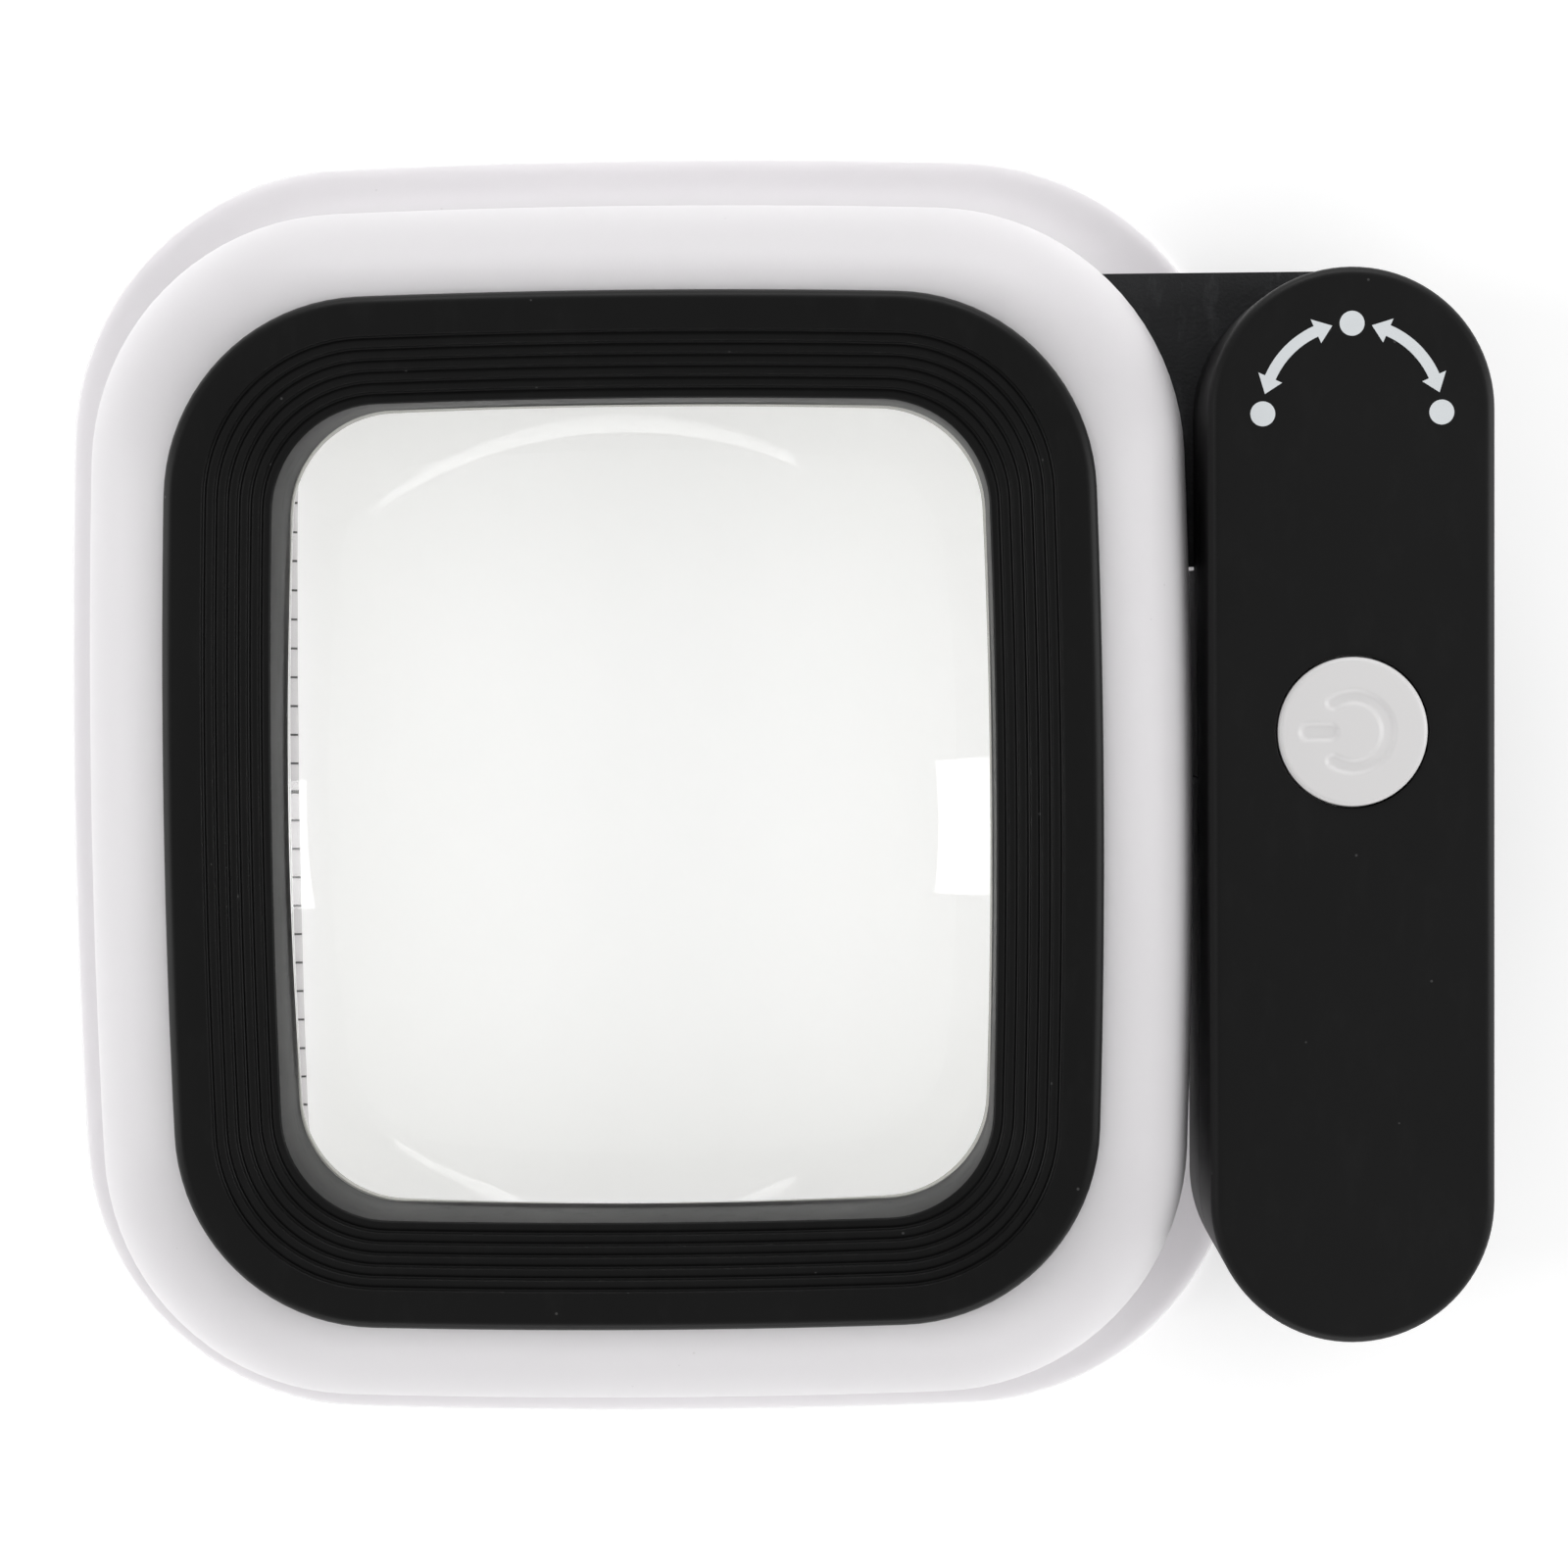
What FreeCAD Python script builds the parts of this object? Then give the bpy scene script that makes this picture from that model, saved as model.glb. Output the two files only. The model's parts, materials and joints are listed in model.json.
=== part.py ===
import FreeCAD, Part
import math
import os

# Lighted stand magnifier. A milky stand with a flared foot holds a rectangular lens over the page.
# A battery handle swings about a vertical pivot on a bracket at the stand's side.
# Millimetres. +Z is up, z = 0 is the page, and the origin is under the centre of the lens.
# +X points to the handle's side. At rest the handle points to -Y, along the stand.

V = FreeCAD.Vector
UP = V(0, 0, 1)

# ---- window, bezel and stand, seen from above ----------------------------------------------------
WINDOW_X = 69.5             # clear window, side to side
WINDOW_Y = 79.1             # clear window, front to back
WINDOW_CORNER = 10.5
BAND = 10.2                 # bezel width round the window
BEZEL_CORNER = 19.4
SHOULDER_X = 9.65           # from the bezel edge out to the top of the wall, at the sides
SHOULDER_Y = 9.10           # the same at the front and back
WALL_DRAFT = 0.3            # how far the wall leans in from its foot to its top
FLARE = 8.1                 # radius of the hollow curve between foot and wall
BASE_CORNER = 30.0
SIDE_BOW_R = 900.0          # radius of the slightly bowed sides

BEZEL_X = WINDOW_X + 2 * BAND
BEZEL_Y = WINDOW_Y + 2 * BAND
BASE_X = BEZEL_X + 2 * (SHOULDER_X + WALL_DRAFT + FLARE)
BASE_Y = BEZEL_Y + 2 * (SHOULDER_Y + WALL_DRAFT + FLARE)
SIDE_STEP = (BASE_X - BEZEL_X) / 2

# ---- stand heights and walls ---------------------------------------------------------------------
FOOT_Z = 0.3                # underside of the foot
FOOT_LAND = 0.9             # upright edge of the foot
WALL_TOP_Z = 31.0
DOME_TOP_Z = 42.8
DOME_ARC = 75.0             # degrees of the quarter ellipse that the dome uses
WALL = 2.0
FOOT_FLANGE = 6.8           # flat underside of the foot, inwards from its edge
BEZEL_TOP_Z = 46.3
BEZEL_FILLET = 1.1

# ---- bezel ---------------------------------------------------------------------------------------
BEZEL_RIM = 3.95            # plain rim outside the grooves
GROOVES = 6
GROOVE_DEPTH = 0.35
PLUG_INSET = 2.8            # the bezel's plug, inwards from its edge
PLUG_DEPTH = 3.0
PLUG_WALL = 1.6
PLUG_GAP = 0.1

# ---- lens, gasket and light tunnel ---------------------------------------------------------------
LENS_R = 160.0              # radius of both lens faces
LENS_GAP = 0.3              # round the lens, inside the window
LENS_FLANGE = 3.0           # flange beyond the window
FLANGE_Z = 29.9
FLANGE_H = 2.0
GASKET_H = 0.5
SEAT_GAP = 0.25             # round the lens flange
SEAT_RIM = 1.8
SEAT_SHELF = 2.0
TUNNEL_WALL = 1.5
TUNNEL_TAPER = 0.7          # the tunnel narrows this much on each side towards the page
TUNNEL_LONGER = 0.6         # its foot stands out this much more at the front and back
LEDGE = 2.5                 # ledge round the tunnel for the light board
LEDGE_Z = 30.6
LEDGE_H = 1.4

# ---- base ring and scale -------------------------------------------------------------------------
RING_Z = 0.45
RING_H = 1.95
RING_GAP = 0.2
LIP = 2.2                   # visible lip inside the tunnel foot
LIP_H = 1.0
RIB_H = 2.0
RIB_WALL = 1.2
TICK_STEP = 2.54            # a tenth of an inch
TICK_MARGIN = 8.5           # window corner left free of ticks
TICKS_FRONT = (-10, 6)      # first and last, counted from the bold one
FRONT_SHIFT = 3.8           # the front scale's bold tick, from the middle
TICK_SHORT = 1.15
TICK_LONG = 1.95
TICK_WIDTH = 0.18
TICK_BOLD = 0.3
INK = 0.04
PAD_R = 3.5
PAD_H = 1.1
PAD_OFFSET = (9.5, 5.0)     # from the corner screw, inwards and outwards

# ---- light board ---------------------------------------------------------------------------------
BOARD_H = 1.2
BOARD_GAP = 0.3
BOARD_WIDTH = 8.2
LED_SIZE = 3.5
LED_H = 1.6
LED_SPREAD = 21.0           # from the middle light of a side to its neighbours

# ---- screws and bosses ---------------------------------------------------------------------------
BOSS_INSET = 23.3           # shell bosses, inwards from the base's sides
BOSS_R = 3.0
BRACKET_POST_R = 2.5        # posts of the base ring under the bracket
SCREW_R = 1.15
PILOT_GAP = 0.02
SCREW_HEAD_R = 2.2
SCREW_HEAD_H = 1.3
HEAD_GAP = 0.2
HEAD_SINK = 0.1             # how far a head lies inside its recess
DEEP_HEAD_SINK = 0.5
SHELL_SCREW = 10.0          # length under the head
BRACKET_BITE = 5.0
DEEP_SCREW = 18.0
LAP_SCREW = 9.0

# ---- bracket -------------------------------------------------------------------------------------
BRACKET_MARGIN = 0.95       # bracket's half width beyond the handle's
BRACKET_Z = 12.4
BRACKET_TOP_Z = 21.0
LUG_DEPTH = 8.4             # how far the bracket reaches in past the wall
SLOT_GAP = 0.15
CHANNEL_HALF = 1.9
CHANNEL_H = 3.0
COVER_LAP = 1.2             # cover beyond the channel on each side
COVER_H = 1.2
COVER_GAP = 0.15
HANDLE_GAP = 0.8            # between the wall's foot and the handle
PIVOT_FROM_END = 29.2       # from the front edge of the base to the pivot

# ---- pivot ---------------------------------------------------------------------------------------
TUBE_R = 4.0
TUBE_BORE_R = 2.5
TUBE_FLANGE_R = 6.0
TUBE_FLANGE_H = 1.2
TUBE_TOP_Z = 27.6
PIVOT_FIT = 0.05            # radial running clearance
SEAT_FIT = 0.02
GLIDE_H = 0.5
STACK_GAP = 0.05
WASHER_R = 6.4
WASHER_H = 0.5
SPRING_WASHER_H = 1.0
NUT_H = 1.8
DETENT_R = 10.0             # the ball runs on this radius
BALL_R = 1.5
BALL_SINK = 0.55            # how far the ball stands below the bracket's top
GROOVE_GAP = 0.1
DIMPLE_DEPTH = 0.4
DETENT_ROOF = 4.2           # ball pocket above the lap floor
DETENT_WALL = 1.1

# ---- handle --------------------------------------------------------------------------------------
HANDLE_Z = 12.0
HANDLE_SPLIT_Z = 25.4
SPLIT_GAP = 0.1
SHELL = 1.9
TOP_FILLET = 0.8
UNDER_FILLET = 2.2
LAP_GAP = 0.6               # between the bracket's top and the handle
LAP_FLOOR = 2.0
COVER_LEAD = 0.8            # the battery cover begins this much before the lower cells
COVER_FIT = 0.15
TONGUE = (5.0, 4.0, 1.0)    # half width, reach and thickness
GRIP = (5.0, 0.8, 0.5)      # half length, width and depth of the cover's grip lines
GRIP_STEP = 2.0
BULKHEAD = 1.5
DEEP_POST_R = 2.9
POST_R = 2.5
BOARD_POST_R = 1.1
POST_ROOT = 0.5             # how far a post runs into the wall it stands on

# ---- cells ---------------------------------------------------------------------------------------
CELL_R = 5.15
CELL_LENGTH = 44.5
CELL_SIDE_GAP = 0.7         # between the two lower cells
CELL_WALL_GAP = 1.3         # between a lower cell and the handle's side wall
CELL_CORNER_GAP = 0.556     # between a lower cell's far corner and the handle's round end
CELL_TOP_ROOM = 2.322       # above the upper cell
CELL_GAP = 0.4
NUB_R = 1.9
NUB_H = 0.8
CELL_STAGGER = 4.6          # the upper cell lies this much further out
CONTACT_DEPTH = 5.3         # bulkhead face to the lower cells
CONTACT_HALF = 3.9
UPPER_CONTACT_HALF = 3.6
CONTACT_H = 0.4
COIL_R = 2.8
COIL_WIRE = 0.25
SPRING_TURNS = 3
CRADLE_GAP = 0.25

# ---- button and switch ---------------------------------------------------------------------------
BUTTON_START = 22.8         # near edge of the button's flange, from the pivot
BUTTON_TO_CELL = 2.0
BUTTON_R = 7.25
BUTTON_GAP = 0.2
BUTTON_PROUD = 0.4
BUTTON_FLANGE = 1.05
BUTTON_FLANGE_H = 1.0
BUTTON_LIFT = 0.2           # under the shell, at rest
BUTTON_PLATE = 1.6
BUTTON_WALL = 1.25
STEM_R = 2.2
MARK_DEPTH = 0.25
POWER_RING = (2.8, 4.0)     # inner and outer radius of the sunk ring
POWER_BAR = (1.4, 5.0, 1.6)  # near end, far end and width of the sunk bar
SWITCH_BOARD_DROP = 7.1     # board's underside below the handle's roof
SWITCH_BOARD_HALF = (10.2, 7.6)
TAB_HALF = 3.0              # tab of the board that takes the wires
TAB_REACH = 1.8
SWITCH_SIDE = 6.2
SWITCH_H = 3.4
PLUNGER_R = 1.75
PLUNGER_GAP = 0.1
PLUNGER_START = 2.0         # from the board's top
WIRE_R = 0.6
WIRE_BEND = 1.6
WIRE_HALF_PITCH = 0.9

# ---- printed swivel mark -------------------------------------------------------------------------
DOT_R = 1.2
MARK_R = 8.62
MARK_SHIFT = -0.3           # the mark's centre, along the handle from the pivot
MARK_STROKE = 1.1
MARK_ARC = (12.8, 77.2)     # from tip to tip, in degrees from the dot beside it
ARROW_DEG = 11.0
ARROW_HALF = 1.25

# ---- places worked out from the sizes above ------------------------------------------------------
FOOT_TOP_Z = FOOT_Z + FOOT_LAND
WALL_FOOT_Z = FOOT_TOP_Z + FLARE
WALL_TOP_INSET = FLARE + WALL_DRAFT
DOME_A = (SIDE_STEP - WALL_TOP_INSET) / (1 - math.cos(math.radians(DOME_ARC)))
DOME_B = (DOME_TOP_Z - WALL_TOP_Z) / math.sin(math.radians(DOME_ARC))
CELL_PITCH = 2 * CELL_R + CELL_SIDE_GAP
INNER_R = CELL_PITCH / 2 + CELL_R + CELL_WALL_GAP
HANDLE_R = INNER_R + SHELL  # half the handle's width, and its end radius
BUTTON_Y = BUTTON_START + BUTTON_R + BUTTON_FLANGE
UPPER_CELL_Y = BUTTON_Y + BUTTON_R + BUTTON_FLANGE + BUTTON_TO_CELL
LOWER_CELLS_Y = UPPER_CELL_Y - CELL_STAGGER
COVER_START = LOWER_CELLS_Y - COVER_LEAD
CELL_REACH = CELL_PITCH / 2 + CELL_R + CELL_CORNER_GAP
# Between the centres of the handle's round ends.
HANDLE_SPAN = LOWER_CELLS_Y + CELL_LENGTH - math.sqrt(INNER_R ** 2 - CELL_REACH ** 2)
BRACKET_HALF = HANDLE_R + BRACKET_MARGIN
TICKS_LEFT = int((WINDOW_Y / 2 - TICK_MARGIN) / TICK_STEP)  # to each side of the middle
WALL_FOOT_X = BASE_X / 2 - FLARE
PIVOT = V(WALL_FOOT_X + HANDLE_GAP + HANDLE_R, BASE_Y / 2 - PIVOT_FROM_END, 0)
LUG_X = BASE_X / 2 - WALL_TOP_INSET - WALL - LUG_DEPTH
BOSS_X = BASE_X / 2 - BOSS_INSET
BOSS_Y = BASE_Y / 2 - BOSS_INSET
FLANGE_TOP_Z = FLANGE_Z + FLANGE_H
RING_TOP_Z = RING_Z + RING_H
LIP_TOP_Z = RING_Z + LIP_H
TUNNEL_FOOT_GROW = 0.2 - TUNNEL_TAPER   # tunnel foot against the window
OPENING_GROW = TUNNEL_FOOT_GROW - LIP
BOARD_Z = LEDGE_Z + LEDGE_H
LAP_Z = BRACKET_TOP_Z + LAP_GAP
LAP_FLOOR_Z = LAP_Z + LAP_FLOOR
LAP_EDGE = BRACKET_HALF + SPLIT_GAP * 4  # the full-depth part begins here
HANDLE_FLOOR_Z = HANDLE_Z + SHELL
HANDLE_UPPER_Z = HANDLE_SPLIT_Z + SPLIT_GAP
LOWER_CELL_Z = HANDLE_FLOOR_Z + CELL_GAP + CELL_R
UPPER_CELL_Z = LOWER_CELL_Z + math.sqrt((2 * CELL_R + CELL_GAP) ** 2 - (CELL_PITCH / 2) ** 2)
HANDLE_ROOF_Z = UPPER_CELL_Z + CELL_R + CELL_TOP_ROOM
HANDLE_TOP_Z = HANDLE_ROOF_Z + SHELL
SWITCH_BOARD_Z = HANDLE_ROOF_Z - SWITCH_BOARD_DROP
SWITCH_TOP_Z = SWITCH_BOARD_Z + BOARD_H
BUTTON_TOP_Z = HANDLE_TOP_Z + BUTTON_PROUD
BUTTON_FLANGE_Z = HANDLE_ROOF_Z - BUTTON_LIFT - BUTTON_FLANGE_H
STEM_Z = BUTTON_FLANGE_Z + 0.2
BRACKET_SCREWS = [(LUG_X + 2.6, PIVOT.y - 8.5), (LUG_X + 2.6, PIVOT.y + 5.2)]
DEEP_SCREW_X = INNER_R - 2.95
DEEP_SCREW_Y = -(BUTTON_START - 2.2)
DEEP_SCREWS = [(-DEEP_SCREW_X, DEEP_SCREW_Y), (DEEP_SCREW_X, DEEP_SCREW_Y)]
LAP_SCREW_X = INNER_R - 3.05
LAP_SCREWS = [(-LAP_SCREW_X, 5.2), (LAP_SCREW_X, 5.2)]


# ---- shared helpers ------------------------------------------------------------------------------
def mix(a, b, t):
    """Value a part t of the way from a to b."""
    return a + (b - a) * t


def outline(size_x, size_y, corner, z, bow=SIDE_BOW_R):
    """Closed wire of four slightly bowed sides and four tangent corner arcs."""
    a = bow - size_x / 2
    b = bow - size_y / 2
    reach = bow - corner
    half = math.hypot(a, b) / 2
    rise = math.sqrt(reach ** 2 - half ** 2)
    centre = V(-a / 2 + rise * b / (2 * half), -b / 2 + rise * a / (2 * half), 0)
    to_side = (centre + V(a, 0, 0)).normalize()
    to_end = (centre + V(0, b, 0)).normalize()
    side = centre + to_side * corner
    end = centre + to_end * corner
    middle = centre + (to_side + to_end).normalize() * corner
    points = []
    for sx, sy in ((1, 1), (-1, 1), (-1, -1), (1, -1)):
        corner_arc = [V(p.x * sx, p.y * sy, z) for p in (side, middle, end)]
        if sx * sy < 0:
            corner_arc.reverse()
        points.append(corner_arc)
    mids = [V(0, size_y / 2, z), V(-size_x / 2, 0, z), V(0, -size_y / 2, z), V(size_x / 2, 0, z)]
    edges = []
    for i in range(4):
        edges.append(Part.Arc(*points[i]).toShape())
        edges.append(Part.Arc(points[i][2], mids[i], points[(i + 1) % 4][0]).toShape())
    return Part.Wire(edges)


def slab(wire, height):
    """Solid plate of the given height on a closed wire."""
    return Part.Face(wire).extrude(V(0, 0, height))


def window_wire(grow, z, longer=0):
    """Outline of the window, grown outwards, and further out at the front and back if longer."""
    return outline(WINDOW_X + 2 * grow, WINDOW_Y + 2 * (grow + longer), WINDOW_CORNER + grow, z)


def window_slab(grow, z0, z1, longer=0):
    """Plate with the outline of window_wire."""
    return slab(window_wire(grow, z0, longer), z1 - z0)


def bezel_slab(grow, z0, z1):
    """Plate with the outline of the bezel, grown outwards."""
    return slab(outline(BEZEL_X + 2 * grow, BEZEL_Y + 2 * grow, BEZEL_CORNER + grow, z0), z1 - z0)


def stand_wire(inset, z):
    """Outline of the stand at an inset from its foot, measured at the side."""
    t = inset / SIDE_STEP
    return outline(mix(BASE_X, BEZEL_X, t), mix(BASE_Y, BEZEL_Y, t), mix(BASE_CORNER, BEZEL_CORNER, t), z)


def stand_slab(inset, z0, z1):
    """Plate with the outline of the stand."""
    return slab(stand_wire(inset, z0), z1 - z0)


def stand_loft(profile, ruled=False):
    """Solid through stand outlines at (inset, z)."""
    return Part.makeLoft([stand_wire(inset, z) for inset, z in profile], True, ruled)


def disc(radius, height, x, y, z):
    """Upright cylinder standing on z."""
    return Part.makeCylinder(radius, height, V(x, y, z))


def box(x0, x1, y0, y1, z0, z1):
    """Box between two corners."""
    return Part.makeBox(x1 - x0, y1 - y0, z1 - z0, V(x0, y0, z0))


def tube(outer, inner, height, z, at=V(0, 0, 0)):
    """Upright ring."""
    return disc(outer, height, at.x, at.y, z).cut(disc(inner, height, at.x, at.y, z))


def joined(shapes):
    """One solid from overlapping shapes."""
    result = shapes[0].multiFuse(shapes[1:])
    return result.removeSplitter()


def group(shapes):
    """Separate solids kept in one node."""
    return Part.makeCompound(shapes)


def stadium(radius, z0, z1):
    """Upright pill of the handle's span, with its pivot end at the origin."""
    right = Part.Arc(V(-radius, 0, z0), V(0, radius, z0), V(radius, 0, z0)).toShape()
    far = Part.Arc(V(radius, -HANDLE_SPAN, z0), V(0, -HANDLE_SPAN - radius, z0),
                   V(-radius, -HANDLE_SPAN, z0)).toShape()
    sides = [Part.makeLine(V(radius, 0, z0), V(radius, -HANDLE_SPAN, z0)),
             Part.makeLine(V(-radius, -HANDLE_SPAN, z0), V(-radius, 0, z0))]
    return slab(Part.Wire([right, sides[0], far, sides[1]]), z1 - z0)


def edges_at(shape, z):
    """Edges that lie wholly at one height."""
    return [e for e in shape.Edges if abs(e.BoundBox.ZMin - z) < 1e-4 and abs(e.BoundBox.ZMax - z) < 1e-4]


def screw(x, y, z_head, length):
    """Pan-head screw pointing up, its head's underside at z_head."""
    head = disc(SCREW_HEAD_R, SCREW_HEAD_H, x, y, z_head - SCREW_HEAD_H)
    slot = box(x - 1.6, x + 1.6, y - 0.25, y + 0.25, z_head - SCREW_HEAD_H, z_head - SCREW_HEAD_H / 2)
    cross = box(x - 0.25, x + 0.25, y - 1.6, y + 1.6, z_head - SCREW_HEAD_H, z_head - SCREW_HEAD_H / 2)
    return joined([head, disc(SCREW_R, length, x, y, z_head)]).cut(slot).cut(cross)


def pilot(x, y, z, length):
    """Hole that a screw's thread bites in."""
    return disc(SCREW_R + PILOT_GAP, length, x, y, z)


def counterbore(x, y, z_under, z_head):
    """Recess from below for a screw's head, and the hole past it."""
    return disc(SCREW_HEAD_R + HEAD_GAP, z_head - z_under, x, y, z_under)


def coil(radius, wire, length, turns):
    """Open spring standing on z = 0, from wire centre to wire centre, as tilted half rings."""
    halves = 2 * turns
    rise = length / halves
    rings = []
    for i in range(halves):
        side = 1 if i % 2 == 0 else -1
        section = Part.makeCircle(wire, V(side * radius, 0, rise * i), V(0, side, 0))
        hub = V(0, 0, rise * (i + 0.5))
        rings.append(Part.Face(Part.Wire([section])).revolve(hub, V(side * rise / 2, 0, radius), 180))
    return rings[0].multiFuse(rings[1:]).Solids[0]


def lead(points):
    """Insulated wire along straight runs joined by tangent arcs."""
    edges = []
    start = points[0]
    for i in range(1, len(points) - 1):
        back = (points[i - 1] - points[i]).normalize()
        ahead = (points[i + 1] - points[i]).normalize()
        half_turn = (math.pi - back.getAngle(ahead)) / 2
        cut = WIRE_BEND * math.tan(half_turn)
        entry = points[i] + back * cut
        leave = points[i] + ahead * cut
        bisector = (back + ahead).normalize()
        crown = points[i] + bisector * (WIRE_BEND / math.cos(half_turn) - WIRE_BEND)
        edges.append(Part.makeLine(start, entry))
        edges.append(Part.Arc(entry, crown, leave).toShape())
        start = leave
    edges.append(Part.makeLine(start, points[-1]))
    circle = Part.makeCircle(WIRE_R, points[0], points[1] - points[0])
    return Part.Wire(edges).makePipeShell([Part.Wire([circle])], True, False)


def on_handle(shape):
    """Move a shape from the handle's own frame, pivot at the origin, to its place."""
    moved = shape.copy()
    moved.translate(PIVOT)
    return moved


# ---- stand ---------------------------------------------------------------------------------------
def arc_profile(start_inset, start_z, a, b, end_deg, steps):
    """Points of the dome's ellipse, from upright at the wall towards level at the bezel."""
    points = []
    for i in range(steps + 1):
        angle = math.radians(end_deg * i / steps)
        points.append((start_inset + a * (1 - math.cos(angle)), start_z + b * math.sin(angle)))
    return points


def bosses(radius, z0, z1):
    """Four pillars near the stand's corners."""
    return [disc(radius, z1 - z0, sx * BOSS_X, sy * BOSS_Y, z0) for sx in (-1, 1) for sy in (-1, 1)]


def outer_shell():
    flare = []
    for i in range(7):
        angle = math.radians(90 * i / 6)
        flare.append((FLARE * math.sin(angle), FOOT_TOP_Z + FLARE * (1 - math.cos(angle))))
    dome = arc_profile(WALL_TOP_INSET, WALL_TOP_Z, DOME_A, DOME_B, DOME_ARC, 6)
    outside = joined([
        stand_slab(0, FOOT_Z, FOOT_TOP_Z),
        stand_loft(flare),
        stand_loft([(FLARE, WALL_FOOT_Z), (WALL_TOP_INSET, WALL_TOP_Z)], True),
        stand_loft(dome)])
    inner_a = DOME_A - WALL
    inner_b = DOME_B - WALL
    inner_foot = FLARE + WALL + 0.2
    recess_top = RING_TOP_Z + 0.2
    inner_dome = arc_profile(WALL_TOP_INSET + WALL, WALL_TOP_Z, inner_a, inner_b, DOME_ARC, 6)
    hollow = joined([
        stand_slab(FOOT_FLANGE, FOOT_Z, recess_top),
        stand_loft([(FOOT_FLANGE, recess_top), (inner_foot, WALL_FOOT_Z + 1)], True),
        stand_loft([(inner_foot, WALL_FOOT_Z + 1), (WALL_TOP_INSET + WALL, WALL_TOP_Z)], True),
        stand_loft(inner_dome)])
    shell = outside.cut(hollow)
    shell = shell.cut(bezel_slab(-PLUG_INSET, DOME_TOP_Z - 4 * WALL, DOME_TOP_Z + 1))
    pillars = [p.common(outside) for p in bosses(BOSS_R, RING_TOP_Z, DOME_TOP_Z)]
    shell = joined([shell] + pillars)
    for hole in bosses(SCREW_R + PILOT_GAP, RING_TOP_Z, RING_TOP_Z + 14):
        shell = shell.cut(hole)
    slot = box(LUG_X, PIVOT.x, PIVOT.y - BRACKET_HALF - SLOT_GAP, PIVOT.y + BRACKET_HALF + SLOT_GAP,
               BRACKET_Z - SLOT_GAP, BRACKET_TOP_Z + SLOT_GAP)
    return shell.cut(slot)


def bezel():
    body = bezel_slab(0, DOME_TOP_Z, BEZEL_TOP_Z)
    body = body.makeFillet(BEZEL_FILLET, edges_at(body, BEZEL_TOP_Z))
    plug = bezel_slab(-PLUG_INSET - PLUG_GAP, DOME_TOP_Z - PLUG_DEPTH, DOME_TOP_Z + 0.5)
    plug = plug.cut(bezel_slab(-PLUG_INSET - PLUG_GAP - PLUG_WALL, DOME_TOP_Z - PLUG_DEPTH, DOME_TOP_Z))
    skirt = window_slab(TUNNEL_WALL, FLANGE_TOP_Z + GASKET_H, BEZEL_TOP_Z - GROOVES * GROOVE_DEPTH)
    body = joined([body, plug, skirt])
    outer = BAND - BEZEL_RIM
    for i in range(GROOVES):
        t = i / GROOVES
        grow = mix(outer, 0, t)
        corner = mix(BEZEL_CORNER - BEZEL_RIM, WINDOW_CORNER, t)
        z = BEZEL_TOP_Z - (i + 1) * GROOVE_DEPTH
        wire = outline(WINDOW_X + 2 * grow, WINDOW_Y + 2 * grow, corner, z)
        body = body.cut(slab(wire, BEZEL_TOP_Z + 1 - z))
    return body.cut(window_slab(0, FLANGE_TOP_Z - 1, BEZEL_TOP_Z + 1))


def lens():
    half_x = WINDOW_X / 2 - LENS_GAP
    half_y = WINDOW_Y / 2 - LENS_GAP
    corner = WINDOW_CORNER - LENS_GAP
    reach = math.hypot(half_x - corner, half_y - corner) + corner
    rise = LENS_R - math.sqrt(LENS_R ** 2 - reach ** 2)
    top = FLANGE_TOP_Z + rise
    bottom = FLANGE_Z - rise
    body = window_slab(-LENS_GAP, bottom - 1, top + 1)
    body = body.common(Part.makeSphere(LENS_R, V(0, 0, top - LENS_R)))
    body = body.common(Part.makeSphere(LENS_R, V(0, 0, bottom + LENS_R)))
    return joined([body, window_slab(LENS_FLANGE, FLANGE_Z, FLANGE_TOP_Z)])


def lens_gasket():
    ring = window_slab(LENS_FLANGE - 0.3, FLANGE_TOP_Z, FLANGE_TOP_Z + GASKET_H)
    return ring.cut(window_slab(0.1, FLANGE_TOP_Z, FLANGE_TOP_Z + GASKET_H))


def light_tunnel():
    pocket = LENS_FLANGE + SEAT_GAP
    seat = pocket + SEAT_RIM
    foot = TUNNEL_FOOT_GROW
    outside = Part.makeLoft([window_wire(foot + TUNNEL_WALL, RING_TOP_Z, TUNNEL_LONGER),
                             window_wire(0.2 + TUNNEL_WALL, FLANGE_Z)], True, True)
    inside = Part.makeLoft([window_wire(foot, RING_TOP_Z, TUNNEL_LONGER),
                            window_wire(0.2, FLANGE_Z)], True, True)
    shelf = window_slab(seat, FLANGE_Z - SEAT_SHELF, FLANGE_TOP_Z + GASKET_H + 0.6)
    ledge = window_slab(seat + LEDGE, LEDGE_Z, LEDGE_Z + LEDGE_H)
    body = joined([outside, shelf, ledge])
    body = body.cut(inside)
    return body.cut(window_slab(pocket, FLANGE_Z, BEZEL_TOP_Z))


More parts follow.
